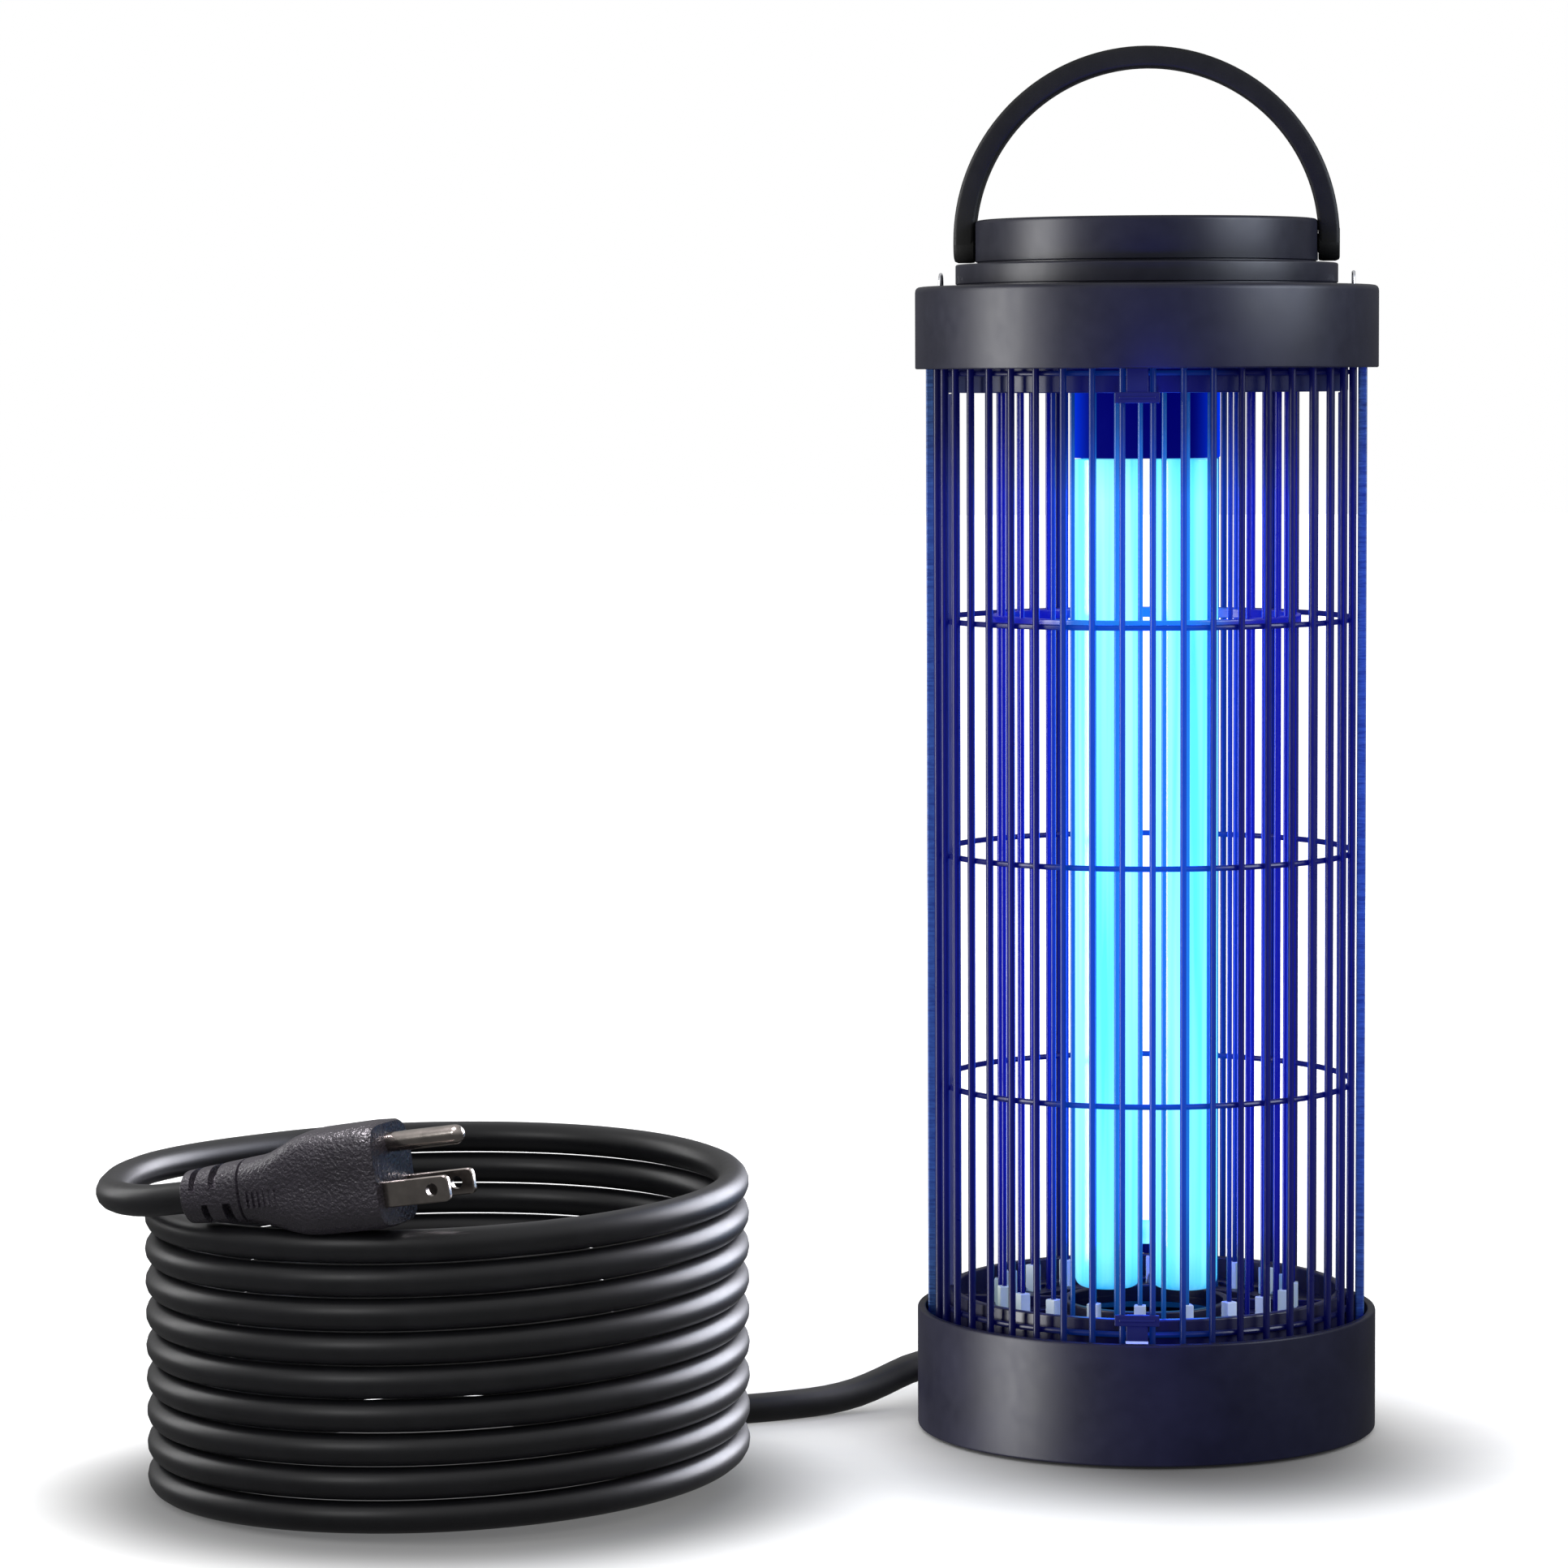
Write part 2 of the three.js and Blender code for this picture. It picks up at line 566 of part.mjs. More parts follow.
const plugHeading = rad(PLUG.heading);
const plugRear = new THREE.Vector3(
  PLUG.rear[0] - 2 * GAP * Math.cos(plugHeading), PLUG.rear[1] - 2 * GAP * Math.sin(plugHeading), PLUG.rear[2]);
place('cord_run', cordRun(coilRoom), CORD);
place('cord_coil', coil, CORD);
place('cord_tail', cordTail(coilRoom, plugRear), CORD);

export default group;
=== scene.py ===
"""Blender looks for the electric bug zapper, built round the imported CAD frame. Units are metres."""

import json
from math import acos, atan2, ceil, cos, pi, radians, sin, tan

import bmesh
import bpy
from mathutils import Matrix, Vector

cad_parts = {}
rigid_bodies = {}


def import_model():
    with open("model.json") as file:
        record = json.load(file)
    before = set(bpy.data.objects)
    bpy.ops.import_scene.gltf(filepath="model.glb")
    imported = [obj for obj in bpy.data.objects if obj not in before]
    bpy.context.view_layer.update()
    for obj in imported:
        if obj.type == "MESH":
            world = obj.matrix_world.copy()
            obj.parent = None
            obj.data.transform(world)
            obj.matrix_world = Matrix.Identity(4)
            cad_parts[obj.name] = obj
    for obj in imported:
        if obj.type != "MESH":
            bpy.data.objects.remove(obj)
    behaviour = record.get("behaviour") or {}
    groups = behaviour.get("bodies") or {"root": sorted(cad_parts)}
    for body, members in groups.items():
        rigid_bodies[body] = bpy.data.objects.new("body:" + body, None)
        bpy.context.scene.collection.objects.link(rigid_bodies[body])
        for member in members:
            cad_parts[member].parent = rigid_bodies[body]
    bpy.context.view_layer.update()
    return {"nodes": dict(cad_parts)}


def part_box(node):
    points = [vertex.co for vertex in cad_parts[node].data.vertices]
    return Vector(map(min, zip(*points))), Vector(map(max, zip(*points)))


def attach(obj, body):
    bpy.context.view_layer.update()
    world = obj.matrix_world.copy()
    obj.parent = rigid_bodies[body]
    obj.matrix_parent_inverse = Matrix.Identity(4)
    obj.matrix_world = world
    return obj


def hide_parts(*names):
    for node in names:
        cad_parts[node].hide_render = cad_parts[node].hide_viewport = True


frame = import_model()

MM = 0.001
ROUND_SIDES = 128
SHARP_ANGLE = 35
BEVEL_ANGLE = 40
BEVEL_SEGMENTS = 3
WELD = 1e-7

# ---- camera ----------------------------------------------------------------------------------

CAMERA_PLACE = (0.056, -1.426, 0.282)
CAMERA_PITCH = 4.40
CAMERA_ROLL = 0.27
CAMERA_YAW = 6.09
CAMERA_LENS = 123.53


def make_camera():
    """The view from the front, from about the height of the top of the cage."""
    data = bpy.data.cameras.new("camera")
    data.lens = CAMERA_LENS
    data.sensor_width = 36
    data.clip_start = 0.05
    data.clip_end = 50
    camera = bpy.data.objects.new("camera", data)
    camera.location = CAMERA_PLACE
    camera.rotation_euler = (radians(90 - CAMERA_PITCH), radians(CAMERA_ROLL), radians(CAMERA_YAW))
    bpy.context.collection.objects.link(camera)
    bpy.context.scene.camera = camera


make_camera()

# ---- node and material helpers ---------------------------------------------------------------


class Nodes:
    """A material's node tree, with short calls for the nodes used here."""

    def __init__(self, name):
        self.material = bpy.data.materials.new(name)
        self.material.use_nodes = True
        self.tree = self.material.node_tree
        self.shader = self.tree.nodes["Principled BSDF"]
        self.coords = self.tree.nodes.new("ShaderNodeTexCoord").outputs["Object"]

    def add(self, kind, **inputs):
        """A new node with values on its sockets."""
        node = self.tree.nodes.new(kind)
        for key, value in inputs.items():
            node.inputs[key.replace("_", " ")].default_value = value
        return node

    def link(self, source, target):
        self.tree.links.new(source, target)

    def noise(self, scale, detail=3.0, roughness=0.55, across=1.0):
        """Noise in the piece's own space; across packs it tighter along Z, as level brush lines."""
        node = self.add("ShaderNodeTexNoise", Scale=scale, Detail=detail, Roughness=roughness)
        stretch = self.tree.nodes.new("ShaderNodeVectorMath")
        stretch.operation = "MULTIPLY"
        stretch.inputs[1].default_value = (1, 1, across)
        self.link(self.coords, stretch.inputs[0])
        self.link(stretch.outputs[0], node.inputs["Vector"])
        return node.outputs["Fac"]

    def ramp(self, factor, low, high, start=0.3, end=0.7):
        """Maps a factor to a mix of two colours between start and end."""
        return self.stops(factor, [(start, low), (end, high)])

    def stops(self, factor, stops):
        """Maps a factor to colours at (position, colour) stops."""
        node = self.tree.nodes.new("ShaderNodeValToRGB")
        elements = node.color_ramp.elements
        while len(elements) < len(stops):
            elements.new(0.5)
        for element, (place, color) in zip(elements, stops):
            element.position = place
            element.color = (*color, 1)
        self.link(factor, node.inputs["Fac"])
        return node.outputs["Color"]

    def fade(self, factor, start, end, kind="SMOOTHSTEP"):
        """Maps a factor from the range start to the range end, eased or LINEAR."""
        node = self.tree.nodes.new("ShaderNodeMapRange")
        node.interpolation_type = kind
        for name, value in zip(("From Min", "From Max", "To Min", "To Max"), (*start, *end)):
            node.inputs[name].default_value = value
        self.link(factor, node.inputs["Value"])
        return node.outputs["Result"]

    def axes(self):
        """The X, Y and Z of a point in the piece's own space."""
        node = self.tree.nodes.new("ShaderNodeSeparateXYZ")
        self.link(self.coords, node.inputs[0])
        return list(node.outputs)

    def away(self, center):
        """How far a point is from a place on the floor, in metres."""
        node = self.tree.nodes.new("ShaderNodeVectorMath")
        node.operation = "DISTANCE"
        self.link(self.coords, node.inputs[0])
        node.inputs[1].default_value = (*center, 0)
        return node.outputs["Value"]

    def calc(self, operation, *factors):
        """A Math node's result."""
        node = self.tree.nodes.new("ShaderNodeMath")
        node.operation = operation
        for factor, target in zip(factors, node.inputs):
            self.link(factor, target)
        return node.outputs[0]

    def tint(self, color, other):
        """One colour multiplied by another."""
        node = self.tree.nodes.new("ShaderNodeMix")
        node.data_type = "RGBA"
        node.blend_type = "MULTIPLY"
        node.inputs["Factor"].default_value = 1
        self.link(color, node.inputs["A"])
        self.link(other, node.inputs["B"])
        return node.outputs["Result"]

    def bump(self, height, strength, distance):
        """Bumps the surface by a height."""
        node = self.add("ShaderNodeBump", Strength=strength, Distance=distance)
        self.link(height, node.inputs["Height"])
        self.link(node.outputs["Normal"], self.shader.inputs["Normal"])


COAT_ROUGHNESS = 0.22
FINE_GRAIN = (1800, 0.15, 0.00005)
BRUSHED_GRAIN = (300, 0.5, 0.0001)
BRUSH_LINES = 8


def finish_of(name, color, rough, metallic=0.0, coat=0.0, specular=0.3, spread=0.2,
              rough_spread=0.07, blotch=60, grain=FINE_GRAIN, brushed=False):
    """A moulded, painted or plated finish: colour drift, roughness drift and a grain. The grain
    is the bump's scale, strength and depth. A brushed finish has level lines in place of it."""
    n = Nodes(name)
    s = n.shader.inputs
    s["Metallic"].default_value = metallic
    s["Specular IOR Level"].default_value = specular
    s["Coat Weight"].default_value = coat
    s["Coat Roughness"].default_value = COAT_ROUGHNESS
    low = tuple(c * (1 - spread) for c in color)
    high = tuple(min(1, c * (1 + spread)) for c in color)
    drift = n.noise(blotch * 5, 2, across=BRUSH_LINES) if brushed else n.noise(blotch)
    n.link(n.ramp(drift, low, high), s["Base Color"])
    rough_range = (rough - rough_spread, rough + rough_spread)
    n.link(n.fade(n.noise(blotch * 4), (0, 1), rough_range, "LINEAR"), s["Roughness"])
    scale, strength, depth = BRUSHED_GRAIN if brushed else grain
    n.bump(n.noise(scale, 2, across=BRUSH_LINES if brushed else 1), strength, depth)
    return n


def plain(*args, **kwargs):
    """A finish with no light of its own."""
    return finish_of(*args, **kwargs).material


# Painted lamp light: NEAR_LAMP is how far aside, in metres, the painted colour in front of and behind
# the tubes gives way to the side colour; GLOW_ALONG is the painted light's level along a reach.
NEAR_LAMP = (0.012, 0.026)
GLOW_ALONG = [(0.0, 0.1), (0.16, 0.8), (0.5, 1.0), (0.86, 1.0), (0.93, 0.35), (1.0, 0.15)]
TUBE_REACH = (0.037, 0.258)
TUBE_ENDS = [(0.0, (0.25, 0.55, 0.9)), (0.05, (0.8, 0.95, 1.0)), (0.5, (1.0, 1.0, 1.0)),
             (0.95, (1.0, 1.0, 1.0)), (1.0, (0.6, 0.85, 1.0))]
TUBE_CYAN = (0.07, 0.70, 0.98)
TUBE_PALE = (0.42, 0.96, 1.0)


def painted_lamp_light(name, color, rough, glow, reach, near=None, specular=0.3, spread=0.2, brushed=False):
    """A dark finish with the lamp's light painted on as emission, fading towards both ends of reach,
    a range of heights; near is the painted colour in front of and behind the twin tubes."""
    n = finish_of(name, color, rough, specular=specular, spread=spread, brushed=brushed)
    x, _, z = n.axes()
    level = n.stops(n.fade(z, reach, (0, 1), "LINEAR"), [(at, (g,) * 3) for at, g in GLOW_ALONG])
    aside = n.fade(n.calc("ABSOLUTE", x), NEAR_LAMP, (0, 1))
    light = n.stops(aside, [(0.0, near or glow), (1.0, glow)])
    n.link(n.tint(level, light), n.shader.inputs["Emission Color"])
    n.shader.inputs["Emission Strength"].default_value = 1
    return n.material


def lamp_finish():
    """Lit phosphor: cyan with paler streaks along the tube, bluer at its two ends."""
    n = Nodes("lamp_phosphor")
    s = n.shader.inputs
    s["Roughness"].default_value = 0.15
    s["Coat Weight"].default_value = 0.3
    s["Base Color"].default_value = (0.05, 0.3, 0.4, 1)
    streaks = n.ramp(n.noise(260, 2, across=0.02), TUBE_CYAN, TUBE_PALE, 0.36, 0.66)
    ends = n.stops(n.fade(n.axes()[2], TUBE_REACH, (0, 1), "LINEAR"), TUBE_ENDS)
    n.link(n.tint(streaks, ends), s["Emission Color"])
    s["Emission Strength"].default_value = 1.0
    return n.material


# Heights, in metres, over which the painted lamp light rises and fades.
CAGE_REACH = (0.030, 0.285)
LOW_REACH = (0.02, 0.3)

BASE_BLACK = plain("base_abs", (0.0045, 0.0045, 0.0085), 0.41, specular=0.1)
BLACK = plain("black_abs", (0.0055, 0.0057, 0.0100), 0.41, specular=0.2)
HANDLE = plain("handle_abs", (0.0055, 0.0055, 0.0055), 0.48, specular=0.12,
               grain=(1400, 0.3, 0.0001))
# Painted lamp light on the bars: a faint blue glow, stronger blue in front of and behind the tubes.
CAGE = painted_lamp_light("cage_coat_painted_glow", (0.0035, 0.004, 0.011), 0.3, (0.0, 0.001, 0.095), CAGE_REACH,
               near=(0.0, 0.055, 0.5), specular=0.17)
# Painted lamp light on the rods: a blue glow, pale cyan in front of and behind the tubes.
GRID = painted_lamp_light("grid_coat_painted_glow", (0.002, 0.003, 0.02), 0.25, (0.0, 0.002, 0.34), CAGE_REACH,
               near=(0.01, 0.2, 0.85))
# Painted lamp light: a faint blue glow on the deck.
DECK = painted_lamp_light("deck_abs_painted_glow", (0.003, 0.003, 0.008), 0.36, (0.0, 0.0, 0.02), LOW_REACH)
# Painted lamp light: a faint blue glow on the skirt and the T clips, bluer in front of and behind the
# tubes.
SKIRT = painted_lamp_light("skirt_abs_painted_glow", (0.005, 0.0065, 0.013), 0.34, (0.0, 0.001, 0.045), LOW_REACH,
                near=(0.0, 0.0, 0.15), specular=0.15)
# Painted lamp light: a blue glow on the side posts, over their own blue-grey brushed colour.
POST = painted_lamp_light("post_strip_painted_glow", (0.013, 0.034, 0.085), 0.35, (0.0, 0.008, 0.15), CAGE_REACH,
               specular=0.25, spread=0.6, brushed=True)
# Painted lamp light: a faint blue glow on the wire ducts.
DUCT = painted_lamp_light("duct_strip_painted_glow", (0.02, 0.024, 0.05), 0.4, (0.003, 0.005, 0.08), CAGE_REACH)
# Painted highlights: a strong blue glow on the socket and the lamp cap towards their sides along X,
# dark navy at their front and back.
HOLDER = painted_lamp_light("holder_abs_painted_glow", (0.001, 0.0015, 0.02), 0.6, (0.0, 0.06, 1.4), (0.1, 0.4),
                 near=(0.0, 0.0, 0.11), specular=0.0)
# Painted lamp light: a pale blue glow on the white sleeves.
SLEEVE = painted_lamp_light("sleeve_white_painted_glow", (0.26, 0.28, 0.26), 0.45, (0.08, 0.13, 0.15), (0.0, 0.1))
STEEL = plain("spring_steel", (0.62, 0.63, 0.66), 0.28, metallic=1.0, spread=0.08)
LATCH = plain("latch_bright", (0.45, 0.55, 0.68), 0.4, metallic=0.3, spread=0.05)
NICKEL = plain("nickel_plate", (0.36, 0.325, 0.3), 0.2, metallic=1.0, spread=0.12, blotch=200,
               grain=(900, 0.2, 0.00004))
CORD = plain("cord_pvc", (0.0062, 0.0062, 0.0078), 0.41, specular=0.42, blotch=120,
             rough_spread=0.04, grain=(500, 0.1, 0.00008))
PLUG = plain("plug_pvc", (0.0105, 0.009, 0.0125), 0.34, specular=0.55, grain=(1150, 1.0, 0.0004))
RUBBER = plain("foot_rubber", (0.012, 0.012, 0.012), 0.8, grain=(900, 0.5, 0.0001))
BOARD = plain("solder_mask", (0.015, 0.11, 0.04), 0.35, coat=0.4)
NYLON = plain("block_nylon", (0.55, 0.55, 0.52), 0.45)
FILM = plain("film_blue", (0.01, 0.03, 0.18), 0.3)
COMPONENT = plain("grey_lacquer", (0.25, 0.25, 0.27), 0.4, metallic=0.4)
LAMP = lamp_finish()

# ---- mesh helpers ----------------------------------------------------------------------------


def make(name, bm, material, body, stands_for=(), sharp=SHARP_ANGLE, bevel=0.0):
    """Turns a bmesh into a piece that rides on a body."""
    bmesh.ops.remove_doubles(bm, verts=bm.verts, dist=WELD)
    bmesh.ops.recalc_face_normals(bm, faces=bm.faces)
    data = bpy.data.meshes.new(name)
    bm.to_mesh(data)
    bm.free()
    data.shade_smooth()
    data.set_sharp_from_angle(angle=radians(sharp))
    data.materials.append(material)
    piece = bpy.data.objects.new(name, data)
    bpy.context.collection.objects.link(piece)
    if bevel:
        edge = piece.modifiers.new("edges", "BEVEL")
        edge.width = bevel
        edge.segments = BEVEL_SEGMENTS
        edge.limit_method = "ANGLE"
        edge.angle_limit = radians(BEVEL_ANGLE)
        edge.harden_normals = True
    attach(piece, body)
    if stands_for:
        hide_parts(*stands_for)
    return piece


def fillet(corners, closed=False, steps=4, most=0.49):
    """Rounds a profile. Each corner is (r, z) or (r, z, radius), in millimetres. A round takes up
    at most the given part of the edges beside it."""
    out = []
    count = len(corners)
    for i, corner in enumerate(corners):
        here = Vector(corner[:2])
        radius = corner[2] if len(corner) > 2 else 0
        if not radius or (not closed and i in (0, count - 1)):
            out.append(here)
            continue
        before = Vector(corners[i - 1][:2]) - here
        after = Vector(corners[(i + 1) % count][:2]) - here
        half = acos(max(-1, min(1, before.normalized().dot(after.normalized())))) / 2
        reach = min(radius / tan(half), before.length * most, after.length * most)
        start = here + before.normalized() * reach
        end = here + after.normalized() * reach
        for k in range(steps + 1):
            t = k / steps
            out.append(start * (1 - t) ** 2 + here * 2 * t * (1 - t) + end * t ** 2)
    return out


def lathe(bm, profile, closed=False, sides=ROUND_SIDES):
    """Turns a profile of (r, z) in millimetres about Z."""
    rings = []
    for p in profile:
        if p[0] < 1e-6:
            rings.append([bm.verts.new((0, 0, p[1] * MM))])
            continue
        angles = (2 * pi * i / sides for i in range(sides))
        rings.append([bm.verts.new((p[0] * MM * cos(a), p[0] * MM * sin(a), p[1] * MM))
                      for a in angles])
    pairs = list(zip(rings, rings[1:]))
    if closed:
        pairs.append((rings[-1], rings[0]))
    for low, high in pairs:
        for i in range(sides):
            j = (i + 1) % sides
            corners = (low[i % len(low)], low[j % len(low)],
                       high[j % len(high)], high[i % len(high)])
            face = list(dict.fromkeys(corners))
            if len(face) > 2:
                bm.faces.new(face)


def turned(name, corners, material, stands_for=(), body="housing", closed=False):
    """A piece turned about Z from a profile of corners."""
    bm = bmesh.new()
    lathe(bm, fillet(corners, closed), closed)
    return make(name, bm, material, body, stands_for)


def loft(bm, rings, close_ring=False):
    """Skins a run of rings of points. Both ends are capped, unless the run closes on itself."""
    made = [[bm.verts.new(p) for p in ring] for ring in rings]
    pairs = list(zip(made, made[1:]))
    if close_ring:
        pairs.append((made[-1], made[0]))
    size = len(made[0])
    for a, b in pairs:
        for i in range(size):
            j = (i + 1) % size
            bm.faces.new((a[i], a[j], b[j], b[i]))
    if not close_ring:
        bm.faces.new(made[0][::-1])
        bm.faces.new(made[-1])


def circle(radius, sides):
    """Points of a circle."""
    angles = [2 * pi * k / sides for k in range(sides)]
    return [(radius * cos(a), radius * sin(a)) for a in angles]


def turned_x(bm, profile, height, sides, side=1):
    """Turns a profile of (x, radius) in millimetres about a line along X, at a height."""
    loft(bm, [[Vector((side * x, u, height + v)) * MM for u, v in circle(r, sides)]
              for x, r in profile])


def oval(half_a, half_b, sides, power=1.0):
    """Points of an oval; a power under 1 squares it."""
    points = []
    for i in range(sides):
        a = 2 * pi * (i + 0.5) / sides
        c, s = cos(a), sin(a)
        points.append((half_a * abs(c) ** power * (1 if c > 0 else -1),
                       half_b * abs(s) ** power * (1 if s > 0 else -1)))
    return points


def upright(bm, angle, radius, section, z0, z1, tip=0.3):
    """A straight rod along Z at an angle on a circle, with eased ends, in millimetres."""
    rotation = Matrix.Rotation(radians(angle), 3, "Z")
    rings = []
    for z, scale in ((z0, 0.6), (z0 + tip, 1), (z1 - tip, 1), (z1, 0.6)):
        rings.append([rotation @ Vector(((radius + u * scale) * MM, v * scale * MM, z * MM))
                      for u, v in section])
    loft(bm, rings)


def hoop(bm, radius, height, thick, span=(0, 360), step=3, sides=10):
    """A round wire bent into a ring or part of one, in millimetres and degrees."""
    start, end = span
    full = end - start >= 360
    steps = ceil((end - start) / step)
    section = circle(thick / 2, sides)
    rings = []
    for i in range(steps if full else steps + 1):
        a = radians(start + (end - start) * i / steps)
        rings.append([((radius + u) * MM * cos(a), (radius + u) * MM * sin(a), (height + v) * MM)
                      for u, v in section])
    loft(bm, rings, close_ring=full)


def block(bm, x, y, z):
    """A box between pairs of millimetres."""
    size = Vector((x[1] - x[0], y[1] - y[0], z[1] - z[0])) * MM
    middle = Vector((x[0] + x[1], y[0] + y[1], z[0] + z[1])) * (MM / 2)
    matrix = Matrix.Translation(middle) @ Matrix.Diagonal((*size, 1))
    return bmesh.ops.create_cube(bm, size=1, matrix=matrix)["verts"]


def turn(bm, verts, angle):
    """Turns points about Z."""
    rotation = Matrix.Rotation(radians(angle), 3, "Z")
    bmesh.ops.rotate(bm, verts=verts, cent=(0, 0, 0), matrix=rotation)


def apply_modifiers(piece):
    """Replaces a piece's mesh with what its modifiers make of it."""
    depsgraph = bpy.context.evaluated_depsgraph_get()
    made = bpy.data.meshes.new_from_object(piece.evaluated_get(depsgraph))
    piece.modifiers.clear()
    piece.data = made


def cut(piece, bm):
    """Cuts a bmesh's shape out of a piece."""
    bmesh.ops.recalc_face_normals(bm, faces=bm.faces)
    data = bpy.data.meshes.new("cutter")
    bm.to_mesh(data)
    bm.free()
    cutter = bpy.data.objects.new("cutter", data)
    bpy.context.collection.objects.link(cutter)
    modifier = piece.modifiers.new("cut", "BOOLEAN")
    modifier.operation = "DIFFERENCE"
    modifier.solver = "EXACT"
    modifier.object = cutter
    bpy.context.view_layer.update()
    apply_modifiers(piece)
    bpy.data.objects.remove(cutter)


# ---- mains cord ------------------------------------------------------------------------------

CORD_D = 8.0
PORT = {"x": -43.5, "y": 42.6, "z": 10.5, "heading": 219, "length": 15}
BOOT_LENGTH = 20
GAP = 0.3
COIL = {"x": -173.5, "y": -89, "r": 72.5, "turns": 9, "start": 75, "pitch": 8.25, "flat": 0.3}
RUN_POINTS = [
    (-66.0, 24.2, 9.3),
    (-72.3, 18.6, 7.0),
    (-79.0, 12.4, 5.0),
    (-86.2, 6.0, 4.1),
    (-94.0, -0.2, 4.0),
    (-102.8, -5.9, 4.0),
    (-112.5, -10.6, 4.0),
    (-123.0, -14.2, 4.0),
    (-134.0, -16.6, 4.0),
    (-145.3, -17.6, 4.0),
]
TAIL_BEND = [
    (-237.9, -53.0, 78.3),
    (-246.2, -64.6, 78.2),
    (-252.6, -77.4, 78.0),
    (-255.8, -91.5, 77.7),
    (-255.7, -106.0, 77.5),
    (-253.2, -118.8, 77.6),
    (-247.5, -130.0, 78.1),
    (-238.8, -138.9, 79.1),
]
PLUG_PLACE = {"rear": (-227.3, -144.6, 81.1), "heading": -18, "pitch": 9, "length": 57}
COIL_STEP = 6
COIL_FIRST = 84
COIL_LAST = 67
PATH_STEP = 5


def coil_point(angle):
    """A point of the coil. Each turn lies flat for the first part and climbs over the rest."""
    progress = (angle - COIL["start"]) / 360
    whole = int(progress)
    t = max(0.0, (progress - whole - COIL["flat"]) / (1 - COIL["flat"]))
    climb = t * t * (3 - 2 * t)
    a = radians(angle)
    return (COIL["x"] + COIL["r"] * cos(a), COIL["y"] + COIL["r"] * sin(a),
            CORD_D / 2 + COIL["pitch"] * (whole + climb))


def smooth_path(points, step):
    """Centripetal Catmull-Rom curve through points, sampled about every step millimetres."""
    points = [Vector(p) for p in points]
    padded = [points[0] * 2 - points[1], *points, points[-1] * 2 - points[-2]]
    out = []
    for p0, p1, p2, p3 in zip(padded, padded[1:], padded[2:], padded[3:]):
        k1 = max(1e-6, (p1 - p0).length) ** 0.5
        k2 = k1 + max(1e-6, (p2 - p1).length) ** 0.5
        k3 = k2 + max(1e-6, (p3 - p2).length) ** 0.5
        count = max(1, round((p2 - p1).length / step))
        for i in range(count):
            t = k1 + (k2 - k1) * i / count
            a1 = p0 * ((k1 - t) / k1) + p1 * (t / k1)
            a2 = p1 * ((k2 - t) / (k2 - k1)) + p2 * ((t - k1) / (k2 - k1))
            a3 = p2 * ((k3 - t) / (k3 - k2)) + p3 * ((t - k2) / (k3 - k2))
            b1 = a1 * ((k2 - t) / k2) + a2 * (t / k2)
            b2 = a2 * ((k3 - t) / (k3 - k1)) + a3 * ((t - k1) / (k3 - k1))
            out.append(b1 * ((k2 - t) / (k2 - k1)) + b2 * ((t - k1) / (k2 - k1)))
    out.append(points[-1])
    return out


def cord_route():
    """The cord's points from the gland, round the coil and over to the rear of the plug."""
    port = radians(PORT["heading"])
    start = BOOT_LENGTH + 2 * GAP
    exit_point = (PORT["x"] + start * cos(port), PORT["y"] + start * sin(port), PORT["z"])
    end = COIL["start"] + 360 * COIL["turns"] + COIL_LAST
    coil = [coil_point(a) for a in range(COIL_FIRST, end, COIL_STEP)]
    heading, pitch = radians(PLUG_PLACE["heading"]), radians(PLUG_PLACE["pitch"])
    x, y, z = PLUG_PLACE["rear"]
    rear = (x - GAP * cos(heading), y - GAP * sin(heading), z - GAP * sin(pitch))
    return [exit_point, *RUN_POINTS, *coil, *TAIL_BEND, rear]


def make_cord():
    """The cord as one curve. Returns it with its length and the point where it leaves the gland."""
    path = smooth_path(cord_route(), PATH_STEP)
    curve = bpy.data.curves.new("mains_cord", "CURVE")
    curve.dimensions = "3D"
    curve.bevel_depth = CORD_D / 2 * MM
    curve.bevel_resolution = 6
    curve.use_fill_caps = True
    spline = curve.splines.new("POLY")
    spline.points.add(len(path) - 1)
    for point, place in zip(spline.points, path):
        point.co = (*(place * MM), 1)
    spline.use_smooth = True
    curve.materials.append(CORD)
    cord = bpy.data.objects.new("mains_cord", curve)
    bpy.context.collection.objects.link(cord)
    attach(cord, "housing")
    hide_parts("cord_run", "cord_coil", "cord_tail")
    length = sum((b - a).length for a, b in zip(path, path[1:])) * MM
    return cord, length, path[0] * MM


def plug_frame():
    """Where the plug's own frame lies, with its rear at the origin and +X towards its blades."""
    heading = Matrix.Rotation(radians(PLUG_PLACE["heading"]), 4, "Z")
    tilt = Matrix.Rotation(radians(-PLUG_PLACE["pitch"]), 4, "Y")
    return Matrix.Translation(Vector(PLUG_PLACE["rear"]) * MM) @ heading @ tilt


BLADE = {"aside": 6.35, "low": -7.4, "high": -1.1, "length": 17.5, "hole": 1.55, "hole_back": 4.6}
PIN = {"height": 7.7, "r": 2.4, "length": 20}
ROOT = 1.5
GROOVES = {"upper": [(3.2, 5.2), (9.0, 11.4)], "lower": [(6.2, 8.2), (12.4, 15.0)]}
GROOVE_DEPTH, GROOVE_WALL = 1.9, 0.25
NECK, NECK_DEPTH = (17.3, 17.9), 0.9
SEAM_DEPTH, SEAM_START = 0.35, 27
GRIP = {"count": 6, "start": 19.6, "step": 1.7, "width": 0.8, "aside": 8.1, "flare": 0.231}


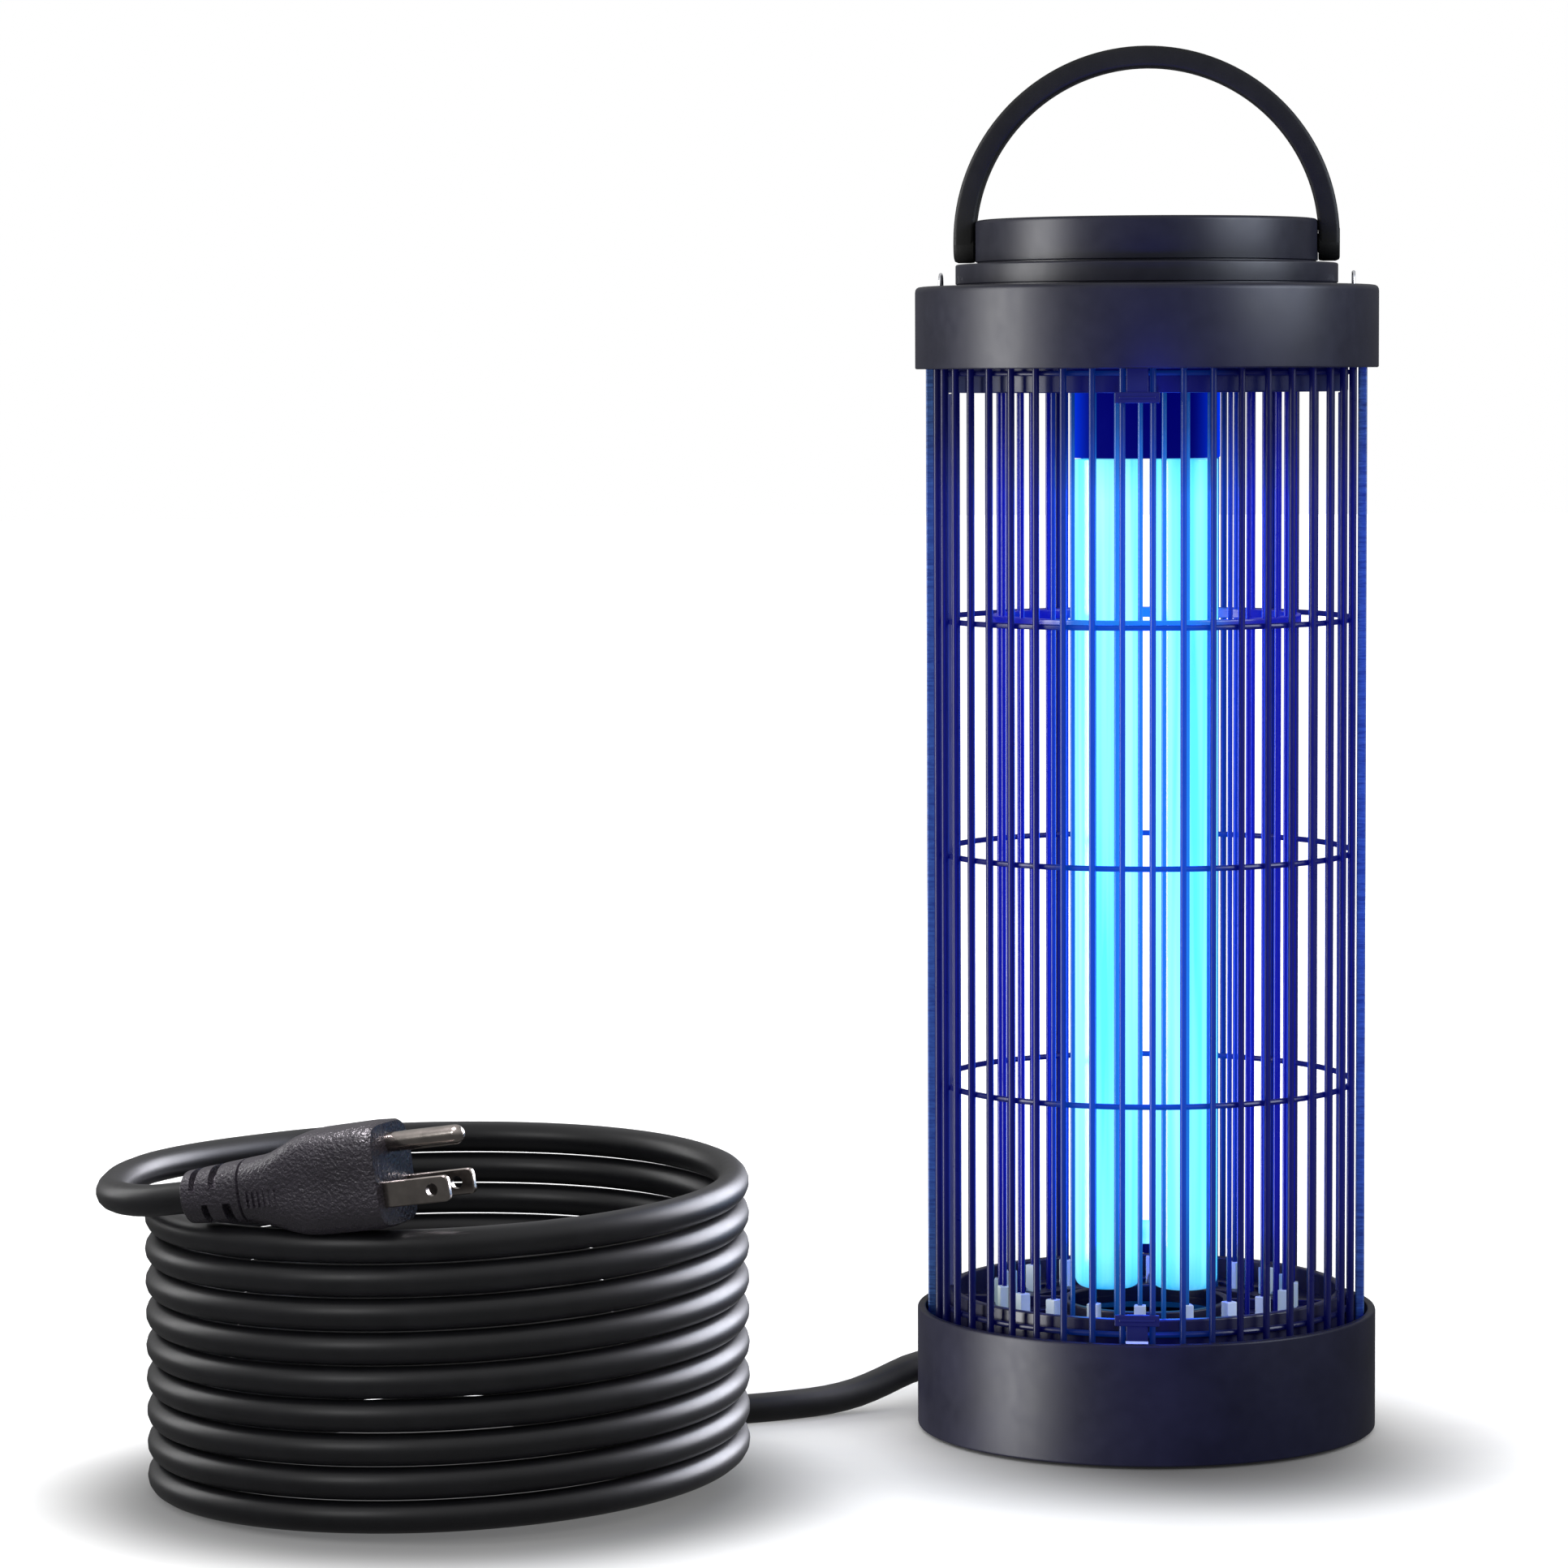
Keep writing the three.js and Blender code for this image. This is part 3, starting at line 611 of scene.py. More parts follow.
def plug_outline(x):
    """Half width, upper and lower half heights and squareness of the plug, x from its rear."""
    table = [
        (0, 5.6, 5.6, 5.6, 0.85), (0.9, 6.5, 6.5, 6.5, 0.8), (17.6, 7.9, 7.9, 7.9, 0.75),
        (19, 8.0, 8.0, 8.0, 0.7), (22, 8.7, 8.2, 8.6, 0.62), (26, 9.6, 8.9, 9.6, 0.55),
        (30, 10.2, 10.3, 10.9, 0.5), (34, 10.5, 12.0, 12.0, 0.46), (38, 10.5, 13.0, 12.4, 0.44),
        (52, 10.5, 13.2, 12.6, 0.42), (56, 10.3, 13.0, 12.4, 0.43), (56.8, 9.9, 12.5, 11.9, 0.44),
        (57, 9.3, 11.9, 11.3, 0.45),
    ]
    for low, high in zip(table, table[1:]):
        if x <= high[0]:
            t = (x - low[0]) / (high[0] - low[0])
            return [a + (b - a) * t for a, b in zip(low[1:], high[1:])]
    return table[-1][1:]


def make_plug():
    """The moulded plug, made along +X in its own frame and then laid on the coil."""
    place = plug_frame()
    stations = [0, 0.9, 17.2, 17.6, 18.0, 18.3, 19, 22, 26, 27, 27.4, 30, 34, 38, 45, 52, 56, 56.8,
                57]
    for low, high in GROOVES["upper"] + GROOVES["lower"]:
        stations += [low, low + GROOVE_WALL, high - GROOVE_WALL, high]
    angles = [0, 2.5, *range(10, 171, 8), 177.5, 180, 182.5, *range(190, 351, 8), 357.5]

    def sunk(x, angle):
        """How far a point is sunk by the strain relief's grooves, the neck and the seams."""
        if NECK[0] < x < NECK[1]:
            return NECK_DEPTH
        half = "upper" if 14 < angle < 166 else "lower" if 194 < angle < 346 else ""
        if any(low < x < high for low, high in GROOVES.get(half, [])):
            return GROOVE_DEPTH
        return SEAM_DEPTH if angle % 180 == 0 and x > SEAM_START else 0

    bm = bmesh.new()
    rings = []
    for x in sorted(stations):
        wide, up, down, power = plug_outline(x)
        ring = []
        for angle in angles:
            c, s = cos(radians(angle)), sin(radians(angle))
            depth = sunk(x, angle)
            y = (wide - depth) * abs(c) ** power * (1 if c > 0 else -1)
            z = ((up if s > 0 else down) - depth) * abs(s) ** power * (1 if s > 0 else -1)
            ring.append(place @ (Vector((x, y, z)) * MM))
        rings.append(ring)
    loft(bm, rings)
    for side in (1, -1):
        for i in range(GRIP["count"]):
            x = GRIP["start"] + GRIP["step"] * i
            y = side * (GRIP["aside"] + GRIP["flare"] * i)
            verts = block(bm, (x, x + GRIP["width"]), (y - 0.9, y + 0.75), (-3.6, 0.4))
            bmesh.ops.transform(bm, matrix=place, verts=verts)
    return make("plug_moulding", bm, PLUG, "housing", ["plug_body"], sharp=32)


def make_blade(name, y, node):
    """A flat blade with chamfered edges and a hole near its tip."""
    x0 = PLUG_PLACE["length"] - ROOT
    x1 = PLUG_PLACE["length"] + GAP + BLADE["length"]
    low, high = BLADE["low"], BLADE["high"]
    middle = (low + high) / 2
    outline = fillet([(x0, low), (x1, low, 1.6), (x1, high, 1.6), (x0, high)], closed=True)
    bm = bmesh.new()
    rings = []
    for side, inset in ((-0.75, 0.25), (-0.5, 0), (0.5, 0), (0.75, 0.25)):
        ring = []
        for x, z in outline:
            nudge_x = inset if x > x1 - 3 else 0
            nudge_z = inset if z > middle else -inset
            ring.append((Vector((x - nudge_x, y + side, z - nudge_z))) * MM)
        rings.append(ring)
    loft(bm, rings)
    blade = make(name, bm, NICKEL, "housing", [node], sharp=30)
    hole = bmesh.new()
    hole_x = x1 - BLADE["hole_back"]
    loft(hole, [[Vector((hole_x + u, y + side, middle + v)) * MM
                 for u, v in circle(BLADE["hole"], 24)] for side in (-2, 2)])
    cut(blade, hole)
    blade.data.transform(plug_frame())
    return blade


def make_earth_pin():
    """The round earth pin, with a domed tip."""
    x1 = PLUG_PLACE["length"] + GAP + PIN["length"]
    r = PIN["r"]
    stations = [(PLUG_PLACE["length"] - ROOT, r), (x1 - r, r)]
    for i in range(1, 7):
        a = i / 6 * pi / 2
        stations.append((x1 - r + r * sin(a), max(0.15, r * cos(a))))
    bm = bmesh.new()
    turned_x(bm, stations, PIN["height"], 24)
    bmesh.ops.transform(bm, matrix=plug_frame(), verts=bm.verts)
    return make("earth_pin", bm, NICKEL, "housing", ["plug_earth_pin"])


GLAND_RIBS = 5


def along_port(bm, stations, sides=32):
    """A turned piece along the port's heading. Stations are distance and radius, in millimetres."""
    heading = radians(PORT["heading"])
    ahead = Vector((cos(heading), sin(heading), 0))
    side = Vector((-sin(heading), cos(heading), 0))
    start = Vector((PORT["x"], PORT["y"], PORT["z"]))
    rings = []
    for s, r in stations:
        middle = start + ahead * s
        rings.append([(middle + side * u + Vector((0, 0, v))) * MM for u, v in circle(r, sides)])
    loft(bm, rings)


def make_gland():
    """The tapered strain relief where the cord leaves the base."""
    bm = bmesh.new()
    stations = [(-3, 6.6), (1.5, 6.6)]
    for i in range(GLAND_RIBS):
        s = 2.2 + i * 3.3
        r = 6.5 - 0.3 * i
        stations += [(s, r - 0.9), (s + 0.9, r - 0.9), (s + 1.1, r), (s + 3.0, r - 0.15)]
    stations += [(19.2, 4.95), (20.2, 4.5)]
    along_port(bm, stations)
    return make("strain_relief", bm, PLUG, "housing", ["cord_gland"])


cord, cord_length, cord_exit = make_cord()
plug_pieces = [
    make_plug(),
    make_blade("blade_left", BLADE["aside"], "plug_blade_left"),
    make_blade("blade_right", -BLADE["aside"], "plug_blade_right"),
    make_earth_pin(),
    make_gland(),
]

# ---- base ------------------------------------------------------------------------------------

ROD_STEP = 18
FOOT = [(0, 0), (4.8, 0, 0.9), (5, 2.3, 0.2), (0, 2.4)]
DECK_RADII = [20.5, 24, 35, 37.4, 40.6, 50.7]
DECK_Z = (29.7, 31.7)
DECK_WINDOW = (24, 35)
DECK_SLOTS = (37.4, 40.6)
DECK_RIBS = 4


def make_base():
    """The base tub with the cord's port, the bottom plate and the feet."""
    turned("base_tub", [
        (61, 0.8, 0.6), (61, 32.5, 0.7), (58.8, 32.5, 0.5), (58.8, 25, 0.3), (54, 25, 0.3),
        (54, 22.6), (58.6, 22.6), (58.6, 0.8),
    ], BASE_BLACK, ["base_shell"], closed=True)
    bm = bmesh.new()
    along_port(bm, [(-PORT["length"], 7.4), (-PORT["length"] + 1.4, 8.4), (-1, 8.5), (-0.2, 8.0),
                    (0, 7.2)])
    make("cord_port", bm, BASE_BLACK, "housing")
    turned("bottom_plate", [(43.6, 2.5, 0.4), (58.2, 2.5), (58.2, 4.5), (43.6, 4.5, 0.4)],
           BLACK, ["base_plate"], closed=True)
    for node in ("foot_front_right", "foot_back_right", "foot_back_left", "foot_front_left"):
        low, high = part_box(node)
        middle = (Vector(low) + Vector(high)) / 2
        bm = bmesh.new()
        lathe(bm, fillet(FOOT), sides=40)
        bmesh.ops.translate(bm, verts=bm.verts, vec=(middle.x, middle.y, 0))
        make(f"{node}_pad", bm, RUBBER, "housing", [node])


def polar_plate(bm, radii, z0, z1, holes, step=2):
    """A flat round plate between the first and last radius. holes(r, angle) leaves a cell out."""
    count = 360 // step
    solid = {}
    for i in range(len(radii) - 1):
        middle = (radii[i] + radii[i + 1]) / 2
        for k in range(count):
            solid[i, k] = not holes(middle, (k + 0.5) * step)
    verts = {}

    def vert(i, k, top):
        key = (i, k % count, top)
        if key not in verts:
            a = radians(k * step)
            verts[key] = bm.verts.new((radii[i] * cos(a) * MM, radii[i] * sin(a) * MM,
                                       (z1 if top else z0) * MM))
        return verts[key]

    for (i, k), there in solid.items():
        if not there:
            continue
        for top in (False, True):
            bm.faces.new([vert(i, k, top), vert(i + 1, k, top), vert(i + 1, k + 1, top),
                          vert(i, k + 1, top)])
        sides = {(i, k - 1): ((i, k), (i + 1, k)), (i, k + 1): ((i, k + 1), (i + 1, k + 1)),
                 (i - 1, k): ((i, k), (i, k + 1)), (i + 1, k): ((i + 1, k), (i + 1, k + 1))}
        for (ni, nk), (a, b) in sides.items():
            if solid.get((ni, nk % count), False):
                continue
            bm.faces.new([vert(*a, False), vert(*b, False), vert(*b, True), vert(*a, True)])


def make_deck():
    """The deck: a floor with windows for dead insects and slots at the rods, a ring wall, a rim
    round the lamp's hole and radial ribs."""
    def holes(r, angle):
        between_ribs = abs((angle - 45) % 90 - 45) > 12
        near_rod = abs((angle + 90 - ROD_STEP / 2) % ROD_STEP - ROD_STEP / 2) > 7
        return (DECK_WINDOW[0] < r < DECK_WINDOW[1] and between_ribs
                or DECK_SLOTS[0] < r < DECK_SLOTS[1] and near_rod)

    bm = bmesh.new()
    polar_plate(bm, DECK_RADII, *DECK_Z, holes)
    make("deck_floor", bm, DECK, "housing", ["base_deck"], sharp=30, bevel=0.0002)
    turned("deck_wall", [
        (50.6, 20), (58, 20), (58, 22.3), (53, 22.3), (53, 37.6, 0.5), (50.6, 37.6, 0.5),
    ], DECK, closed=True)
    turned("deck_lamp_rim", [
        (20.5, 31.6), (22.6, 31.6), (22.6, 34.2, 0.5), (20.5, 34.2, 0.5),
    ], DECK, closed=True)
    for i in range(DECK_RIBS):
        bm = bmesh.new()
        turn(bm, block(bm, (22.5, 50.7), (-0.8, 0.8), (31.6, 34.4)), 360 / DECK_RIBS * i)
        make(f"deck_rib_{i + 1}", bm, DECK, "housing", bevel=0.0003)


def make_tray():
    """The tray for dead insects, with a grip across its underside."""
    turned("tray_cup", [
        (0, 2.6), (42.8, 2.6, 1.2), (42.8, 23.5, 0.5), (41.4, 23.5, 0.5), (41.4, 4.4, 1.0),
        (0, 4.4),
    ], BLACK, ["collection_tray"], body="tray")
    bm = bmesh.new()
    block(bm, (-18, 18), (-2, 2), (0.9, 3))
    make("tray_grip", bm, BLACK, "tray", bevel=0.0007)


make_base()
make_deck()
make_tray()

# ---- cage ------------------------------------------------------------------------------------

BAR_SECTION = oval(1.0, 0.8, 14, 0.85)
BAR_COUNT = 20
BAR_STEP = 8
BAR_RADIUS = 55.95
BAR_Z = (25.3, 287.3)
TOP_WIRES = (280.8, 284.5)
RING_WIRES = {"base": 34, "low": 93, "middle": 154.3, "high": 216}


def make_cage():
    """Two half cages of bars, the ring wires inside them, the side posts and the wire ducts."""
    for side, middle in (("front", -90), ("rear", 90)):
        bm = bmesh.new()
        for i in range(BAR_COUNT):
            angle = middle + (i - (BAR_COUNT - 1) / 2) * BAR_STEP
            upright(bm, angle, BAR_RADIUS, BAR_SECTION, *BAR_Z)
        for height in TOP_WIRES:
            hoop(bm, 54.5, height, 1.3, (middle - 87, middle + 87))
        make(f"cage_bars_{side}", bm, CAGE, "housing", [f"cage_{side}"])
    for name, height in RING_WIRES.items():
        bm = bmesh.new()
        hoop(bm, 54.3, height, 1.5)
        make(f"ring_wire_{name}", bm, CAGE, "housing", [f"cage_wire_{name}"])
    for side, angle in (("right", 0), ("left", 180)):
        bm = bmesh.new()
        turn(bm, block(bm, (55.6, 58), (-5, 5), BAR_Z), angle)
        make(f"post_strip_{side}", bm, POST, "housing", [f"post_{side}"],
             bevel=0.0005)
        bm = bmesh.new()
        for x, y in (((50.4, 51.3), (-6, 6)), ((51.2, 52.6), (-6, -5)), ((51.2, 52.6), (5, 6))):
            turn(bm, block(bm, x, y, (37.9, 275.5)), angle)
        make(f"duct_{side}", bm, DUCT, "housing", [f"wire_duct_{side}"],
             bevel=0.0002)


def make_clips():
    """The T clips with their bright foot plates, and the steel springs in the base's groove."""
    for side, angle in (("front", -90), ("rear", 90)):
        for end, head, stem in (("base", (36.8, 39.7), (25.3, 39.7)),
                                ("top", (273.2, 276), (273.2, 287.3))):
            bm = bmesh.new()
            turn(bm, block(bm, (56.9, 57.9), (-2.8, 2.8), stem), angle)
            turn(bm, block(bm, (57.25, 58.3), (-5.75, 5.75), head), angle)
            middle = sum(head) / 2
            turn(bm, block(bm, (58.1, 58.6), (-4.6, 4.6), (middle - 0.35, middle + 0.35)), angle)
            make(f"t_clip_{side}_{end}", bm, SKIRT, f"{side}_{end}_clip",
                 [f"clip_{side}_{end}"], bevel=0.0003)
        bm = bmesh.new()
        turn(bm, block(bm, (57.85, 57.98), (-2.9, 2.9), (30.9, 32.9)), angle)
        make(f"foot_plate_{side}", bm, LATCH, f"{side}_base_clip")
        bm = bmesh.new()
        turn(bm, block(bm, (54.8, 55.2), (-2.9, 2.9), (25.3, 31)), angle)
        make(f"spring_{side}", bm, STEEL, "housing", [f"latch_strip_{side}"],
             bevel=0.0001)


make_cage()
make_clips()

# ---- killing grid ----------------------------------------------------------------------------

ROD_COUNT = 20
ROD_RADIUS = 39


def make_grid():
    """Live and neutral rods on their bus rings, the sleeves at the live rods and the spacer."""
    rod = oval(0.66, 0.66, 12)
    for name, offset, ends, bus in (("live", 0, (33, 285), 284.7),
                                    ("neutral", 0.5, (25.5, 279.7), 25.7)):
        bm = bmesh.new()
        for i in range(ROD_COUNT):
            upright(bm, -90 + (i + offset) * ROD_STEP, ROD_RADIUS, rod, *ends)
        hoop(bm, ROD_RADIUS, bus, 1.5)
        make(f"rods_{name}", bm, GRID, "housing", [f"grid_{name}"])
    turned("sleeve_carrier", [(40.2, 32), (42, 32), (42, 32.8, 0.3), (40.2, 32.8, 0.3)],
           DECK, closed=True)
    bm = bmesh.new()
    for i in range(ROD_COUNT):
        turn(bm, block(bm, (37.5, 40.5), (-1.5, 1.5), (31.7, 39)), -90 + i * ROD_STEP)
    make("sleeves", bm, SLEEVE, "housing", ["sleeve_ring"], bevel=0.00025)
    turned("spacer_hoop", [
        (37.4, 214.6, 0.4), (40.9, 214.6, 0.4), (40.9, 217.2, 0.4), (37.4, 217.2, 0.4),
    ], GRID, ["grid_spacer"], closed=True)


make_grid()

# ---- lamp ------------------------------------------------------------------------------------

TUBE = [(0, 37.3), (8.75, 37.3, 3.2), (8.75, 258.2, 0.4), (0, 258.2)]
TUBE_ASIDE = 10.2
BRIDGE = [(-3, 3.2), (3, 3.2)]
BRIDGE_HEIGHT = 52
LAMP_PIN = [(0, 269.5), (1.2, 269.5), (1.2, 275, 0.8), (0, 275)]
LAMP_PINS_ASIDE = (-12, -4, 4, 12)
PILL_SIDES = 48


def lathe_at(bm, x, profile, sides):
    """Turns a profile about an upright line at x, in millimetres."""
    start = len(bm.verts)
    lathe(bm, profile, sides=sides)
    bm.verts.ensure_lookup_table()
    bmesh.ops.translate(bm, verts=bm.verts[start:], vec=(x * MM, 0, 0))


def make_lamp():
    """The twin tubes and the bridge between them, the cap with its pins, and the socket."""
    bm = bmesh.new()
    for x in (TUBE_ASIDE, -TUBE_ASIDE):
        lathe_at(bm, x, fillet(TUBE, steps=8), 64)
    make("lamp_tubes", bm, LAMP, "lamp", ["lamp_tube"])
    bm = bmesh.new()
    turned_x(bm, BRIDGE, BRIDGE_HEIGHT, 24)
    make("lamp_bridge", bm, LAMP, "lamp")

    def pill(half_length, half_width, z):
        """A ring with half round ends and straight sides."""
        straight = half_length - half_width
        return [((u + (straight if u >= 0 else -straight)) * MM, v * MM, z * MM)
                for u, v in circle(half_width, PILL_SIDES)]

    bm = bmesh.new()
    loft(bm, [pill(17.6, 7.6, 258.5), pill(17.6, 7.6, 269), pill(16.8, 6.8, 270)])
    make("lamp_cap", bm, HOLDER, "lamp", ["lamp_base"])
    bm = bmesh.new()
    for x in LAMP_PINS_ASIDE:
        lathe_at(bm, x, fillet(LAMP_PIN), 16)
    make("lamp_pins", bm, STEEL, "lamp")
    turned("socket", [
        (0, 276.5), (18.4, 276.5), (18.4, 258.5, 0.3), (19.5, 258.5, 0.6), (19.5, 279.7),
        (0, 279.7),
    ], HOLDER, ["lamp_holder"])


make_lamp()

# ---- head ------------------------------------------------------------------------------------

PIVOT_HEIGHT = 314.6
BORE_RADIUS = 2.9


def make_head():
    """The skirt that takes the bars, the cap, the collar, and the lid with the handle's bores."""
    turned("head_skirt", [
        (0, 280), (50.6, 280), (50.6, 275.8, 0.5), (53, 275.8, 0.5), (53, 287.6), (58.2, 287.6),
        (58.2, 290), (50.6, 290), (50.6, 282.4), (0, 282.4),
    ], SKIRT, ["head_plate"])
    turned("cap_shell", [
        (58.6, 282, 0.4), (61, 282, 0.5), (61, 303.6, 1.6), (40, 303.6), (40, 301.2), (58.6, 301.2),
    ], BLACK, ["top_cap"], closed=True)
    turned("collar_ring", [
        (40, 303.7), (49.9, 303.7), (49.9, 304.1), (50.3, 304.3, 0.2), (50.3, 309.4, 0.6),
        (40, 309.4),
    ], BLACK, ["collar"], closed=True)
    lid = turned("lid_shell", [
        (42.6, 309.6), (44.5, 309.6), (44.5, 309.9), (45.0, 310.1, 0.2), (45.0, 321, 1.2),
        (41.5, 321, 0.5), (41.0, 320.6, 0.4), (0, 320.6), (0, 319), (42.6, 319),
    ], BLACK, ["top_lid"])
    bores = bmesh.new()
    turned_x(bores, [(-60, BORE_RADIUS), (60, BORE_RADIUS)], PIVOT_HEIGHT, 32)
    cut(lid, bores)
    lid.data.shade_smooth()
    lid.data.set_sharp_from_angle(angle=radians(SHARP_ANGLE))


EYE = {"r": 2.7, "wire": 0.5, "x": 54.3, "z": 303.6, "leg": (-0.2, 0.6)}


def make_eyes():
    """The two wire eyes on top of the cap."""
    r, (foot, knee) = EYE["r"], EYE["leg"]
    bends = [pi * k / 12 for k in range(1, 12)]
    path = [(-r, foot), (-r, knee), *[(r * cos(pi - a), knee + r * sin(a)) for a in bends],
            (r, knee), (r, foot)]
    for side, angle in (("right", 0), ("left", 180)):
        bm = bmesh.new()
        rings = []
        for i, (y, z) in enumerate(path):
            before, after = path[max(0, i - 1)], path[min(len(path) - 1, i + 1)]
            a = atan2(after[1] - before[1], after[0] - before[0]) + pi / 2
            rings.append([Vector((EYE["x"] + u, y + v * cos(a), EYE["z"] + z + v * sin(a))) * MM
                          for u, v in circle(EYE["wire"], 12)])
        loft(bm, rings)
        turn(bm, bm.verts, angle)
        make(f"eye_loop_{side}", bm, STEEL, "housing", [f"hanging_eye_{side}"])


STRAP = {"r": (45.1, 50.7), "half_depth": 4.7, "ease": 1.1, "arch_height": 315.6, "steps": 72}
STRAP_END = [(45.1, 4.3), (45.4, 4.6), (46.3, 4.7), (49.6, 4.7), (50.5, 4.3), (50.7, 3.7)]
HANDLE_PIN = [(40.0, 2.0), (40.4, 2.5), (45.4, 2.5)]


def make_handle():
    """A flat strap bent to a half circle, with round ends and the pins it swings on."""
    (inside, outside), half, ease = STRAP["r"], STRAP["half_depth"], STRAP["ease"]
    section = fillet([(inside, -half, ease), (outside, -half, ease), (outside, half, ease),
                      (inside, half, ease)], closed=True, steps=3)
    bm = bmesh.new()
    rings = []
    for i in range(STRAP["steps"] + 1):
        a = pi * i / STRAP["steps"]
        rings.append([Vector((r * cos(a), d, STRAP["arch_height"] + r * sin(a))) * MM
                      for r, d in section])
    first, last = ([Vector((side * r, d, PIVOT_HEIGHT)) * MM for r, d in section]
                   for side in (1, -1))
    loft(bm, [first, *rings, last])
    for side in (1, -1):
        turned_x(bm, STRAP_END, PIVOT_HEIGHT, 48, side)
        turned_x(bm, HANDLE_PIN, PIVOT_HEIGHT, 32, side)
    make("handle_bail", bm, HANDLE, "handle", ["handle"])


def dress(node, material):
    """Gives a CAD node that stays in view a finish."""
    data = frame["nodes"][node].data
    data.materials.clear()
    data.materials.append(material)


make_head()
make_eyes()
make_handle()
for node, finish in (("terminal_block", NYLON), ("fuse_holder", BLACK), ("ballast", COMPONENT),
                     ("transformer", COMPONENT), ("capacitor", FILM), ("circuit_board", BOARD),
                     ("pivot_clip_left", STEEL), ("pivot_clip_right", STEEL)):
    dress(node, finish)

# ---- stage and light -------------------------------------------------------------------------

FLOOR_RADIUS = 9
FLOOR_LOW = (0.83, 0.83, 0.84)
FLOOR_HIGH = (0.86, 0.86, 0.86)
FLOOR_GLOW_REACH = 3
# The floor's glow by distance from the middle, as parts of FLOOR_GLOW_REACH: low next to the object
# as painted shade, white far off.
FLOOR_GLOW = [(0.018, (0.02,) * 3), (0.04, (0.38,) * 3), (0.25, (0.4,) * 3), (0.8, (0.97,) * 3)]
# Painted contact shadows on the floor round the base and the coil: centre, reach in metres and
# darkest level.
CONTACT_SHADES = [
    {"center": (0.02, -0.05), "reach": (0.012, 0.108), "depth": 0.2},
    {"center": (-0.1735, -0.1), "reach": (0.068, 0.12), "depth": 0.25},
]
HORIZON_LIGHT = 0.13
CEILING_LIGHT = 0.75
CEILING_START = 0.75

WHITE = (1, 1, 1)
BLUE = (0.0, 0.012, 1.0)
COIL_MIDDLE = (-0.17, -0.09, 0.04)
WASH_COUNT = 6
WASH_RADIUS = 1.3
WASH_CENTER = -0.1
WASH_ANGLES = [2 * pi * (i + 0.5) / WASH_COUNT for i in range(WASH_COUNT)]
# Each light: its name, the set it reaches, the set that shades it, its place, the point it is
# aimed at, its width and height, its power and its colour.
LIGHTS = [
    ("key_left", "zapper", "zapper", (-1.25, -0.42, 0.25), (0, 0, 0.2), (0.55, 1.6), 58, WHITE),
    ("key_base", "base", "base", (-1.0, -0.62, -0.1), (0, 0, 0.02), (0.5, 0.5), 23, WHITE),
    ("fill_right", "zapper", "zapper", (1.25, -0.45, 0.75), (0, 0, 0.28), (1.0, 0.7), 40,
     (0.8, 0.87, 1)),
    ("cord_right", "bright", "cord", (0.8, 0.72, 0.5), COIL_MIDDLE, (1.1, 0.8), 40,
     (0.91, 0.91, 1)),
    ("plug_top", "plug", "cord", (-0.32, -0.35, 0.9), (-0.2, -0.15, 0.08), (0.25, 0.25), 20,
     (1, 0.93, 1)),
    ("cord_left", "cord", "cord", (-1.1, 0.35, 0.45), COIL_MIDDLE, (0.4, 0.7), 3, WHITE),
    ("cord_front", "cord", "cord", (-0.9, -1.2, 0.8), COIL_MIDDLE, (0.4, 0.5), 3.5, WHITE),
    *[(f"floor_wash_{i + 1}", "floor", None,
       (WASH_RADIUS * cos(a) + WASH_CENTER, WASH_RADIUS * sin(a), 0.55), (WASH_CENTER, 0, 0),
       (0.9, 0.6), 5.6, WHITE) for i, a in enumerate(WASH_ANGLES)],
    ("lamp_front", "zapper", None, (0, -0.012, 0.15), (0, -1.2, 0.15), (0.03, 0.2), 0.35, BLUE),
    ("lamp_back", "zapper", None, (0, 0.012, 0.15), (0, 1.2, 0.15), (0.03, 0.2), 0.35, BLUE),
    ("lamp_left", "zapper", None, (-0.021, 0, 0.15), (-2.1, 0, 0.15), (0.014, 0.2), 0.1, BLUE),
    ("lamp_right", "zapper", None, (0.021, 0, 0.15), (2.1, 0, 0.15), (0.014, 0.2), 0.1, BLUE),
    ("spill_up", "zapper", None, (0.02, -0.24, 0.21), (0.012, 0, 0.29), (0.05, 0.05), 0.4, BLUE),
    ("spill_down", "zapper", None, (0.02, -0.24, 0.11), (0.012, 0, 0.02), (0.05, 0.05), 0.4,
     BLUE),
]


def area_light(name, place, target, size, power, color):
    """A soft box that the camera doesn't see, aimed at a target."""
    data = bpy.data.lights.new(name, "AREA")
    data.shape = "RECTANGLE"
    data.size, data.size_y = size
    data.energy = power
    data.color = color
    light = bpy.data.objects.new(name, data)
    light.location = place
    aim = Vector(target) - Vector(place)
    light.rotation_euler = aim.to_track_quat("-Z", "Y").to_euler()
    light.visible_camera = False
    bpy.context.collection.objects.link(light)
    return light


